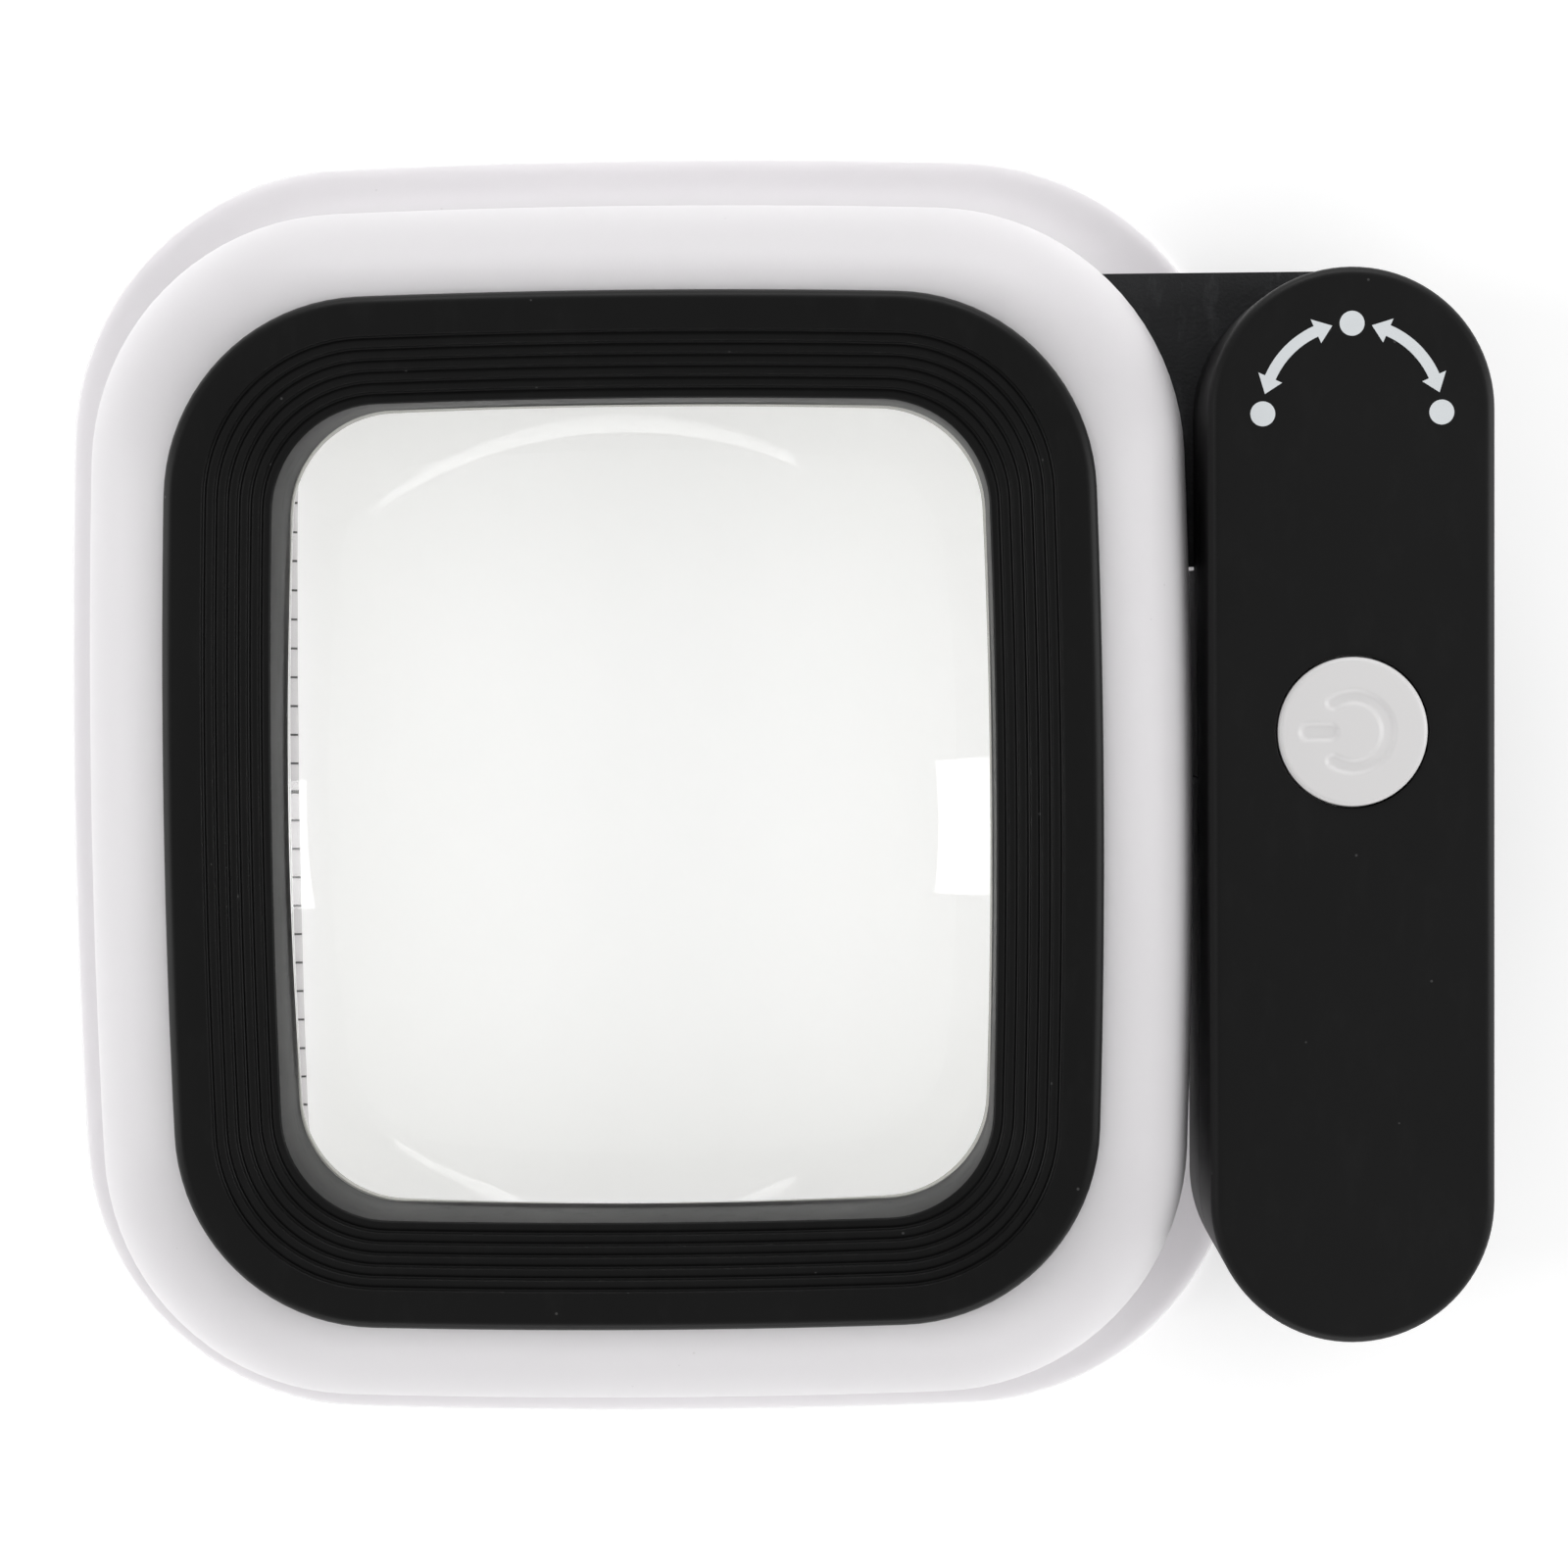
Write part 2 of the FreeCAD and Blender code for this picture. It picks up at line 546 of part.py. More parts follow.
def base_ring():
    plate = stand_slab(FOOT_FLANGE + RING_GAP, RING_Z, RING_TOP_Z)
    rib_in = TUNNEL_FOOT_GROW + TUNNEL_WALL + RING_GAP
    rib = window_slab(rib_in + RIB_WALL, RING_Z, RING_TOP_Z + RIB_H, TUNNEL_LONGER)
    rib = rib.cut(window_slab(rib_in, RING_TOP_Z, RING_TOP_Z + RIB_H, TUNNEL_LONGER))
    posts = [disc(BRACKET_POST_R, BRACKET_Z - RING_Z, x, y, RING_Z) for x, y in BRACKET_SCREWS]
    body = joined([plate, rib] + posts)
    body = body.cut(window_slab(TUNNEL_FOOT_GROW, LIP_TOP_Z, RING_TOP_Z, TUNNEL_LONGER))
    body = body.cut(window_slab(OPENING_GROW, RING_Z - 1, RING_TOP_Z, TUNNEL_LONGER))
    for sx in (-1, 1):
        for sy in (-1, 1):
            x, y = sx * BOSS_X, sy * BOSS_Y
            body = body.cut(disc(SCREW_R + HEAD_GAP, RING_H, x, y, RING_Z))
            body = body.cut(counterbore(x, y, RING_Z, RING_Z + SCREW_HEAD_H + HEAD_SINK))
            body = body.cut(disc(PAD_R, PAD_H, *pad_centre(sx, sy), 0))
    for x, y in BRACKET_SCREWS:
        body = body.cut(disc(SCREW_R + HEAD_GAP, BRACKET_Z, x, y, RING_Z))
        body = body.cut(counterbore(x, y, RING_Z, RING_Z + SCREW_HEAD_H + HEAD_SINK))
    return body


def pad_centre(sx, sy):
    """Centre of a rubber pad, beside the corner screw."""
    return sx * (BOSS_X - PAD_OFFSET[0]), sy * (BOSS_Y + PAD_OFFSET[1])


def rubber_feet():
    return group([disc(PAD_R - 0.05, PAD_H, *pad_centre(sx, sy), 0) for sx in (-1, 1) for sy in (-1, 1)])


def shell_screws():
    head = RING_Z + SCREW_HEAD_H + HEAD_SINK
    return group([screw(sx * BOSS_X, sy * BOSS_Y, head, SHELL_SCREW) for sx in (-1, 1) for sy in (-1, 1)])


def bracket_screws():
    head = RING_Z + SCREW_HEAD_H + HEAD_SINK
    return group([screw(x, y, head, BRACKET_Z - head + BRACKET_BITE) for x, y in BRACKET_SCREWS])


def side_bow(along):
    """How far a bowed side has curved in, this far along from its middle."""
    return SIDE_BOW_R - math.sqrt(SIDE_BOW_R ** 2 - along ** 2)


def scale_marks():
    left = -(WINDOW_X / 2 + OPENING_GROW) - 0.05
    front = -(WINDOW_Y / 2 + OPENING_GROW + TUNNEL_LONGER) - 0.05
    ticks = []
    for i in range(-TICKS_LEFT, TICKS_LEFT + 1):
        length = TICK_SHORT if i % 2 else TICK_LONG
        half = (TICK_BOLD if i % TICKS_LEFT == 0 else TICK_WIDTH) / 2
        y = i * TICK_STEP
        x = left + side_bow(y)
        ticks.append(box(x - length, x, y - half, y + half, LIP_TOP_Z, LIP_TOP_Z + INK))
    for i in range(TICKS_FRONT[0], TICKS_FRONT[1] + 1):
        length = TICK_SHORT if i % 2 else TICK_LONG
        half = (TICK_BOLD if i == 0 else TICK_WIDTH) / 2
        x = FRONT_SHIFT + i * TICK_STEP
        y = front + side_bow(x)
        ticks.append(box(x - half, x + half, y - length, y, LIP_TOP_Z, LIP_TOP_Z + INK))
    return group(ticks)


def board_grow():
    """Inner edge of the light board against the window."""
    return LENS_FLANGE + SEAT_GAP + SEAT_RIM + BOARD_GAP


def led_board():
    inner = board_grow()
    board = window_slab(inner + BOARD_WIDTH, BOARD_Z, BOARD_Z + BOARD_H)
    board = board.cut(window_slab(inner, BOARD_Z, BOARD_Z + BOARD_H))
    for hole in bosses(BOSS_R + BOARD_GAP, BOARD_Z, BOARD_Z + BOARD_H):
        board = board.cut(hole)
    return board


def leds():
    reach = board_grow() + (BOARD_WIDTH + LEDGE) / 2
    half = LED_SIZE / 2
    places = []
    for along in (-LED_SPREAD, 0, LED_SPREAD):
        for sign in (-1, 1):
            places.append((sign * (WINDOW_X / 2 + reach), along))
            places.append((along, sign * (WINDOW_Y / 2 + reach)))
    return group([box(x - half, x + half, y - half, y + half, BOARD_Z - LED_H, BOARD_Z) for x, y in places])


# ---- bracket and pivot ---------------------------------------------------------------------------
def bracket():
    y0 = PIVOT.y - BRACKET_HALF
    y1 = PIVOT.y + BRACKET_HALF
    height = BRACKET_TOP_Z - BRACKET_Z
    arm = box(LUG_X, PIVOT.x, y0, y1, BRACKET_Z, BRACKET_TOP_Z)
    body = joined([arm, disc(BRACKET_HALF, height, PIVOT.x, PIVOT.y, BRACKET_Z)])
    flange_top = BRACKET_Z + COVER_H + CHANNEL_H + TUBE_FLANGE_H
    body = body.cut(channel(0, BRACKET_Z + COVER_H + CHANNEL_H))
    body = body.cut(disc(TUBE_FLANGE_R + SEAT_FIT, flange_top - BRACKET_Z, PIVOT.x, PIVOT.y, BRACKET_Z))
    body = body.cut(disc(TUBE_R + SEAT_FIT, height, PIVOT.x, PIVOT.y, BRACKET_Z))
    body = body.cut(cover_plate(COVER_GAP))
    for x, y in BRACKET_SCREWS:
        body = body.cut(pilot(x, y, BRACKET_Z, BRACKET_BITE + 0.5))
    for cutter in detent_track():
        body = body.cut(cutter)
    return body


def channel(grow, top):
    """Space for the wires, from the pivot to the bracket's inner end."""
    half = CHANNEL_HALF + grow
    return box(LUG_X - 1, PIVOT.x, PIVOT.y - half, PIVOT.y + half, BRACKET_Z - 1, top)


def cover_plate(gap):
    """Lid under the wire channel, grown by a gap."""
    half = CHANNEL_HALF + COVER_LAP + gap
    strip = box(LUG_X + 1 - gap, PIVOT.x, PIVOT.y - half, PIVOT.y + half, BRACKET_Z, BRACKET_Z + COVER_H)
    end = disc(TUBE_FLANGE_R + 1 + gap, COVER_H, PIVOT.x, PIVOT.y, BRACKET_Z)
    return joined([strip, end])


def bracket_cover():
    return cover_plate(0)


def detent_track():
    """Half-round groove for the ball with a deeper dimple at each click stop."""
    centre_z = BRACKET_TOP_Z - BALL_SINK + BALL_R
    radius = BALL_R + GROOVE_GAP
    section = Part.makeCircle(radius, V(PIVOT.x, PIVOT.y - DETENT_R, centre_z), V(1, 0, 0))
    ring = Part.Face(Part.Wire([section])).revolve(PIVOT, UP, 180)
    dimples = []
    for angle in (-90, 0, 90):
        x = PIVOT.x + DETENT_R * math.cos(math.radians(angle))
        y = PIVOT.y + DETENT_R * math.sin(math.radians(angle))
        dimples.append(Part.makeSphere(radius, V(x, y, centre_z - DIMPLE_DEPTH)))
    return [ring] + dimples


def tube_flange_z():
    """Underside of the pivot tube's flange."""
    return BRACKET_Z + COVER_H + CHANNEL_H


def pivot_tube():
    z = tube_flange_z()
    body = joined([disc(TUBE_FLANGE_R, TUBE_FLANGE_H, PIVOT.x, PIVOT.y, z),
                   disc(TUBE_R, TUBE_TOP_Z - z, PIVOT.x, PIVOT.y, z)])
    body = body.cut(disc(TUBE_BORE_R, TUBE_TOP_Z - z, PIVOT.x, PIVOT.y, z))
    return body.makeChamfer(0.3, edges_at(body, TUBE_TOP_Z)[:1])


def glide_washer():
    return tube(WASHER_R, TUBE_R + 2 * PIVOT_FIT, GLIDE_H, BRACKET_TOP_Z + STACK_GAP / 2, PIVOT)


def thrust_washer():
    return tube(WASHER_R, TUBE_R + 2 * PIVOT_FIT, WASHER_H, LAP_FLOOR_Z + STACK_GAP, PIVOT)


def disc_spring():
    z = LAP_FLOOR_Z + STACK_GAP + WASHER_H + SEAT_FIT
    rise = SPRING_WASHER_H - 0.5
    inner = TUBE_R + 2 * PIVOT_FIT
    points = [V(inner, 0, z + rise), V(WASHER_R - 0.2, 0, z), V(WASHER_R - 0.2, 0, z + 0.5),
              V(inner, 0, z + SPRING_WASHER_H), V(inner, 0, z + rise)]
    cone = Part.Face(Part.makePolygon(points)).revolve(V(0, 0, 0), UP, 360)
    return on_handle(cone)


def pivot_nut():
    z = LAP_FLOOR_Z + STACK_GAP + WASHER_H + SPRING_WASHER_H + 2 * SEAT_FIT
    corners = [V(WASHER_R * math.cos(math.radians(60 * i)), WASHER_R * math.sin(math.radians(60 * i)), z)
               for i in range(7)]
    nut = slab(Part.makePolygon(corners), NUT_H).cut(disc(TUBE_R + SEAT_FIT, NUT_H, 0, 0, z))
    return on_handle(nut)


def ball_centre():
    """Centre of the detent ball in the handle's frame: towards the handle's far end."""
    return V(0, -DETENT_R, BRACKET_TOP_Z - BALL_SINK + BALL_R)


def detent_ball():
    return on_handle(Part.makeSphere(BALL_R, ball_centre()))


def detent_spring():
    base = ball_centre().z + BALL_R + COIL_WIRE
    length = detent_roof_z() - COIL_WIRE - base - 0.05
    spring = coil(BALL_R - COIL_WIRE - 0.1, COIL_WIRE, length, SPRING_TURNS)
    spring.translate(V(0, -DETENT_R, base))
    return on_handle(spring)


def detent_roof_z():
    """Top of the detent spring's pocket."""
    return LAP_FLOOR_Z + DETENT_ROOF


# ---- handle --------------------------------------------------------------------------------------
def handle_blank():
    """Outer form of the handle's lower half, both bottom shell and battery cover."""
    blank = stadium(HANDLE_R, HANDLE_Z, HANDLE_SPLIT_Z)
    return blank.makeFillet(UNDER_FILLET, edges_at(blank, HANDLE_Z))


def handle_bottom_shell():
    wide = HANDLE_R + 1
    back = -LAP_EDGE - SHELL
    body = handle_blank().common(box(-wide, wide, -COVER_START, wide, HANDLE_Z, HANDLE_SPLIT_Z))
    body = body.cut(box(-wide, wide, -LAP_EDGE, wide, HANDLE_Z - 1, LAP_Z))
    inner = stadium(INNER_R, HANDLE_FLOOR_Z, HANDLE_SPLIT_Z)
    body = body.cut(inner.common(box(-wide, wide, back, wide, LAP_FLOOR_Z, HANDLE_SPLIT_Z)))
    body = body.cut(inner.common(box(-wide, wide, -2 * COVER_START, back, HANDLE_FLOOR_Z, HANDLE_SPLIT_Z)))
    bulkhead_y = -(LOWER_CELLS_Y - CONTACT_DEPTH)
    bulkhead = box(-INNER_R - 0.1, INNER_R + 0.1, bulkhead_y, bulkhead_y + BULKHEAD,
                   HANDLE_FLOOR_Z - POST_ROOT, HANDLE_SPLIT_Z)
    deep_foot = HANDLE_FLOOR_Z - POST_ROOT
    lap_foot = LAP_FLOOR_Z - POST_ROOT
    posts = [disc(DEEP_POST_R, HANDLE_SPLIT_Z - deep_foot, x, y, deep_foot) for x, y in DEEP_SCREWS]
    posts += [disc(POST_R, HANDLE_SPLIT_Z - lap_foot, x, y, lap_foot) for x, y in LAP_SCREWS]
    pocket_r = BALL_R + GROOVE_GAP + DETENT_WALL
    pocket = disc(pocket_r, detent_roof_z() + 0.8 - lap_foot, 0, -DETENT_R, lap_foot)
    outline_block = stadium(HANDLE_R - 0.3, HANDLE_Z, HANDLE_TOP_Z)
    added = [part.common(outline_block) for part in [bulkhead] + posts]
    body = joined([body, pocket] + added)
    body = body.cut(disc(TUBE_R + PIVOT_FIT, LAP_FLOOR + 1, 0, 0, LAP_Z - 0.5))
    body = body.cut(disc(BALL_R + GROOVE_GAP, detent_roof_z() - LAP_Z + 0.5, 0, -DETENT_R, LAP_Z - 0.5))
    for x, y in DEEP_SCREWS:
        body = body.cut(counterbore(x, y, HANDLE_Z, HANDLE_Z + SCREW_HEAD_H + DEEP_HEAD_SINK))
        body = body.cut(disc(SCREW_R + HEAD_GAP, HANDLE_SPLIT_Z - HANDLE_Z, x, y, HANDLE_Z))
    for x, y in LAP_SCREWS:
        body = body.cut(counterbore(x, y, LAP_Z, LAP_Z + SCREW_HEAD_H + 2 * HEAD_SINK))
        body = body.cut(disc(SCREW_R + HEAD_GAP, HANDLE_SPLIT_Z - LAP_Z, x, y, LAP_Z))
    half, reach, thick = TONGUE
    slot = box(-half - COVER_FIT, half + COVER_FIT, -COVER_START, -COVER_START + reach + COVER_FIT,
               HANDLE_FLOOR_Z - thick - COVER_FIT, HANDLE_FLOOR_Z)
    return on_handle(body.cut(slot))


def battery_cover():
    wide = HANDLE_R + 1
    start = -COVER_START - COVER_FIT
    far = -HANDLE_SPAN - wide
    body = handle_blank().common(box(-wide, wide, far, start, HANDLE_Z, HANDLE_SPLIT_Z))
    body = body.cut(stadium(INNER_R, HANDLE_FLOOR_Z, HANDLE_SPLIT_Z))
    half, reach, thick = TONGUE
    tongue = box(-half, half, start - 4, start + reach, HANDLE_FLOOR_Z - thick, HANDLE_FLOOR_Z)
    length, width, depth = GRIP
    rows = [start - (3 + i) * GRIP_STEP for i in range(3)]
    grips = [box(-length, length, y, y + width, HANDLE_Z, HANDLE_Z + depth) for y in rows]
    body = joined([body, tongue])
    for grip in grips:
        body = body.cut(grip)
    return on_handle(body)


def handle_top_shell():
    body = stadium(HANDLE_R, HANDLE_UPPER_Z, HANDLE_TOP_Z)
    body = body.makeFillet(TOP_FILLET, edges_at(body, HANDLE_TOP_Z))
    body = body.cut(stadium(INNER_R, HANDLE_UPPER_Z, HANDLE_ROOF_Z))
    limit = stadium(HANDLE_R - 0.5, HANDLE_UPPER_Z, HANDLE_TOP_Z)
    height = HANDLE_ROOF_Z + POST_ROOT - HANDLE_UPPER_Z
    posts = [disc(POST_R, height, x, y, HANDLE_UPPER_Z).common(limit) for x, y in DEEP_SCREWS + LAP_SCREWS]
    half_x, half_y = SWITCH_BOARD_HALF
    for sx in (-1, 1):
        for sy in (-1, 1):
            x = sx * (half_x - BOARD_POST_R - 0.1)
            y = -BUTTON_Y + sy * (half_y - BOARD_POST_R - 0.1)
            rise = HANDLE_ROOF_Z + POST_ROOT - SWITCH_TOP_Z
            posts.append(disc(BOARD_POST_R, rise, x, y, SWITCH_TOP_Z).common(limit))
    body = joined([body] + posts)
    body = body.cut(disc(BUTTON_R + BUTTON_GAP, 3 * SHELL, 0, -BUTTON_Y, HANDLE_ROOF_Z - SHELL))
    for x, y in DEEP_SCREWS + LAP_SCREWS:
        body = body.cut(pilot(x, y, HANDLE_UPPER_Z, 8))
    return on_handle(body)


def handle_screws():
    head = HANDLE_Z + SCREW_HEAD_H + DEEP_HEAD_SINK
    return on_handle(group([screw(x, y, head, DEEP_SCREW) for x, y in DEEP_SCREWS]))


def lap_screws():
    head = LAP_Z + SCREW_HEAD_H + 2 * HEAD_SINK
    return on_handle(group([screw(x, y, head, LAP_SCREW) for x, y in LAP_SCREWS]))


def cell_places():
    """Axis x and z and near end of each cell, in the handle's frame."""
    half = CELL_PITCH / 2
    return [(-half, LOWER_CELL_Z, LOWER_CELLS_Y), (half, LOWER_CELL_Z, LOWER_CELLS_Y),
            (0, UPPER_CELL_Z, UPPER_CELL_Y)]


def battery_cells():
    cells = []
    for i, (x, z, near) in enumerate(cell_places()):
        nub_first = i == 1
        start = near + (NUB_H if nub_first else 0)
        can = Part.makeCylinder(CELL_R, CELL_LENGTH - NUB_H, V(x, -start, z), V(0, -1, 0))
        can = can.makeFillet(0.4, [e for e in can.Edges if e.Length > CELL_R * 6])
        nub_y = near if nub_first else near + CELL_LENGTH - NUB_H
        nub = Part.makeCylinder(NUB_R, NUB_H, V(x, -nub_y, z), V(0, -1, 0))
        cells.append(joined([can, nub]))
    return on_handle(group(cells))


def cell_cradle():
    limit = stadium(INNER_R - CRADLE_GAP, LOWER_CELL_Z + 1, HANDLE_ROOF_Z - 0.2)
    near = UPPER_CELL_Y - 2.0
    block = limit.common(box(-HANDLE_R, HANDLE_R, -HANDLE_SPAN - HANDLE_R, -near, HANDLE_Z, HANDLE_TOP_Z))
    for x, z, start in cell_places():
        hole = Part.makeCylinder(CELL_R + CRADLE_GAP, CELL_LENGTH + 2.2, V(x, -start + 1.1, z), V(0, -1, 0))
        block = block.cut(hole)
    far_plate = LOWER_CELLS_Y + CELL_LENGTH
    lower_top = LOWER_CELL_Z + CELL_R
    block = block.cut(box(-HANDLE_R, HANDLE_R, -far_plate - 1.2, -far_plate + 0.1, HANDLE_Z, lower_top))
    window = box(-3.2, 3.2, -UPPER_CELL_Y - CELL_LENGTH + 6, -near - 6, UPPER_CELL_Z, HANDLE_TOP_Z)
    return on_handle(max(block.cut(window).Solids, key=lambda solid: solid.Volume))


def contact_plates():
    z0 = LOWER_CELL_Z - CONTACT_HALF
    z1 = LOWER_CELL_Z + CONTACT_HALF
    near = -(LOWER_CELLS_Y - CONTACT_DEPTH)
    far = -(LOWER_CELLS_Y + CELL_LENGTH)
    reach = CELL_PITCH / 2 + 4.0
    upper_near = -UPPER_CELL_Y + 0.1
    upper_far = -UPPER_CELL_Y - CELL_LENGTH
    half = UPPER_CONTACT_HALF
    plates = [
        box(-reach, -1.0, near - CONTACT_H, near, z0, z1),
        box(1.0, reach, near - CONTACT_H, near, z0, z1),
        box(-reach, reach, far - CONTACT_H, far, z0, z1),
        box(-half, half, upper_near, upper_near + CONTACT_H, UPPER_CELL_Z - half, UPPER_CELL_Z + half),
        box(-half, half, upper_far - CONTACT_H, upper_far, UPPER_CELL_Z - half, UPPER_CELL_Z + half)]
    return on_handle(group(plates))


def contact_springs():
    length = CONTACT_DEPTH - CONTACT_H - 2 * COIL_WIRE - 0.1
    springs = []
    for x, z, near in cell_places()[:2]:
        spring = coil(COIL_R, COIL_WIRE, length, SPRING_TURNS)
        spring.rotate(V(0, 0, 0), V(1, 0, 0), 90)
        spring.translate(V(x, -(near - CONTACT_DEPTH + CONTACT_H + COIL_WIRE + 0.05), z))
        springs.append(spring)
    return on_handle(group(springs))


# ---- button and switch ---------------------------------------------------------------------------
def power_mark():
    """Sunk power sign with its bar towards the stand."""
    z = BUTTON_TOP_Z - MARK_DEPTH
    inner, outer = POWER_RING
    near, far, width = POWER_BAR
    ring = disc(outer, 1, 0, 0, z).cut(disc(inner, 1, 0, 0, z))
    wedge = Part.Face(Part.makePolygon([V(0, 0, z), V(-9, 5.2, z), V(-9, -5.2, z), V(0, 0, z)]))
    ring = ring.cut(wedge.extrude(UP))
    bar = box(-far, -near, -width / 2, width / 2, z, z + 1)
    bar = joined([bar, disc(width / 2, 1, -near, 0, z)])
    return group([ring, bar])


def power_button():
    body = disc(BUTTON_R, BUTTON_TOP_Z - BUTTON_FLANGE_Z, 0, 0, BUTTON_FLANGE_Z)
    body = body.makeFillet(0.5, edges_at(body, BUTTON_TOP_Z))
    flange = disc(BUTTON_R + BUTTON_FLANGE, BUTTON_FLANGE_H, 0, 0, BUTTON_FLANGE_Z)
    body = joined([body, flange])
    hollow_top = BUTTON_TOP_Z - BUTTON_PLATE
    hollow = disc(BUTTON_R - BUTTON_WALL, hollow_top - BUTTON_FLANGE_Z, 0, 0, BUTTON_FLANGE_Z)
    body = body.cut(hollow.cut(disc(STEM_R, 9, 0, 0, STEM_Z)))
    body = body.cut(power_mark())
    body.translate(V(0, -BUTTON_Y, 0))
    return on_handle(body)


def switch_board():
    half_x, half_y = SWITCH_BOARD_HALF
    board = box(-half_x, half_x, -BUTTON_Y - half_y, -BUTTON_Y + half_y, SWITCH_BOARD_Z, SWITCH_TOP_Z)
    tab = box(-TAB_HALF, TAB_HALF, -BUTTON_Y, -BUTTON_Y + half_y + TAB_REACH, SWITCH_BOARD_Z, SWITCH_TOP_Z)
    limit = stadium(INNER_R - CRADLE_GAP, SWITCH_BOARD_Z, SWITCH_TOP_Z)
    return on_handle(joined([board, tab]).common(limit))


def push_switch():
    half = SWITCH_SIDE / 2
    body = box(-half, half, -BUTTON_Y - half, -BUTTON_Y + half, SWITCH_TOP_Z, SWITCH_TOP_Z + SWITCH_H)
    start = SWITCH_TOP_Z + PLUNGER_START - 1.2
    return on_handle(body.cut(disc(PLUNGER_R + PLUNGER_GAP, SWITCH_H, 0, -BUTTON_Y, start)))


def switch_plunger():
    start = SWITCH_TOP_Z + PLUNGER_START
    return on_handle(disc(PLUNGER_R, STEM_Z - start, 0, -BUTTON_Y, start))


def button_spring():
    length = BUTTON_FLANGE_Z - SWITCH_TOP_Z - 2 * COIL_WIRE - 0.06
    spring = coil(BUTTON_R - 0.15, COIL_WIRE, length, SPRING_TURNS)
    spring.translate(V(0, -BUTTON_Y, SWITCH_TOP_Z + COIL_WIRE + 0.03))
    return on_handle(spring)


def board_parts():
    z = SWITCH_BOARD_Z
    chip = box(-2.4, 2.4, -BUTTON_Y - 2, -BUTTON_Y + 2, z - 1.3, z)
    small = [box(x - 0.8, x + 0.8, -BUTTON_Y + 4, -BUTTON_Y + 5, z - 0.6, z) for x in (-5, 0, 5)]
    return on_handle(group([chip] + small))


def handle_leads():
    wires = []
    y = -BUTTON_Y + SWITCH_BOARD_HALF[1] + TAB_REACH / 2
    for x in (-WIRE_HALF_PITCH, WIRE_HALF_PITCH):
        wires.append(lead([V(x, y, SWITCH_TOP_Z), V(x, y, SWITCH_TOP_Z + 2.8), V(x, 0, SWITCH_TOP_Z + 2.8),
                           V(x, 0, TUBE_TOP_Z - 3)]))
    return on_handle(group(wires))


def stand_leads():
    z = BRACKET_Z + COVER_H + CHANNEL_H / 2
    wires = []
    for y in (-WIRE_HALF_PITCH, WIRE_HALF_PITCH):
        turn_x = LUG_X - 1.2
        wires.append(lead([V(PIVOT.x, PIVOT.y + y, TUBE_TOP_Z - 3.5), V(PIVOT.x, PIVOT.y + y, z),
                           V(turn_x, PIVOT.y + y, z), V(turn_x, PIVOT.y + y, BOARD_Z)]))
    return group(wires)


def swivel_print():
    """Three dots and two curved double-headed arrows round the pivot."""
    z = HANDLE_TOP_Z
    pieces = []
    for angle in (0, 90, 180):
        a = math.radians(angle)
        pieces.append(disc(DOT_R, INK, MARK_R * math.cos(a), MARK_R * math.sin(a), z))
    first, last = MARK_ARC
    for start in (0, 90):
        pieces.append(curved_arrow(start + first, start + last, z))
    mark = group(pieces)
    mark.translate(V(0, MARK_SHIFT, 0))
    return on_handle(mark)


def curved_arrow(first, last, z):
    """Arc band with a head at each end, its tips at the two angles."""
    near = first + ARROW_DEG
    far = last - ARROW_DEG
    rims = []
    for radius in (MARK_R - MARK_STROKE / 2, MARK_R + MARK_STROKE / 2):
        rims.append([polar(radius, mix(near, far, t), z) for t in (0, 0.5, 1)])
    inner, outer = rims
    wide = MARK_R + ARROW_HALF
    slim = MARK_R - ARROW_HALF
    low_head = [polar(wide, near, z), polar(MARK_R, first, z), polar(slim, near, z)]
    high_head = [polar(slim, far, z), polar(MARK_R, last, z), polar(wide, far, z)]
    edges = [Part.Arc(*inner).toShape()]
    edges += chain([inner[2]] + high_head + [outer[2]])
    edges.append(Part.Arc(outer[2], outer[1], outer[0]).toShape())
    edges += chain([outer[0]] + low_head + [inner[0]])
    return slab(Part.Wire(edges), INK)


def polar(radius, degrees, z):
    """Point at a radius and angle."""
    return V(radius * math.cos(math.radians(degrees)), radius * math.sin(math.radians(degrees)), z)


def chain(points):
    """Straight edges through points."""
    return [Part.makeLine(points[i], points[i + 1]) for i in range(len(points) - 1)]


NODES = [outer_shell, bezel, lens, lens_gasket, light_tunnel, base_ring, rubber_feet, shell_screws,
         bracket_screws, scale_marks, led_board, leds, bracket, bracket_cover, pivot_tube, glide_washer,
         thrust_washer, disc_spring, pivot_nut, stand_leads, detent_ball, detent_spring, handle_bottom_shell,
         battery_cover, handle_top_shell, handle_screws, lap_screws, battery_cells, cell_cradle,
         contact_plates, contact_springs, power_button, switch_board, push_switch, switch_plunger,
         button_spring, board_parts, handle_leads, swivel_print]

os.makedirs("parts", exist_ok=True)
for make in NODES:
    shape = make()
    solids = len(shape.Solids)
    print(f"{make.__name__}: {solids} solids, {shape.Volume:.1f} mm3, valid {shape.isValid()}")
    shape.exportStep(f"parts/{make.__name__}.step")
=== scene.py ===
"""Lighted stand magnifier: finished pieces, finishes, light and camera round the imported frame.

Metres. +Z is up, the page is z = 0 and the origin lies under the middle of the lens. The handle's
side is +X, and at rest the handle points to -Y.
"""
import json
import logging
import math
from dataclasses import dataclass, field
from enum import Enum
from typing import Any, Callable, ClassVar, Optional, Sequence, Union

import bmesh
import bpy
from mathutils import Matrix, Vector

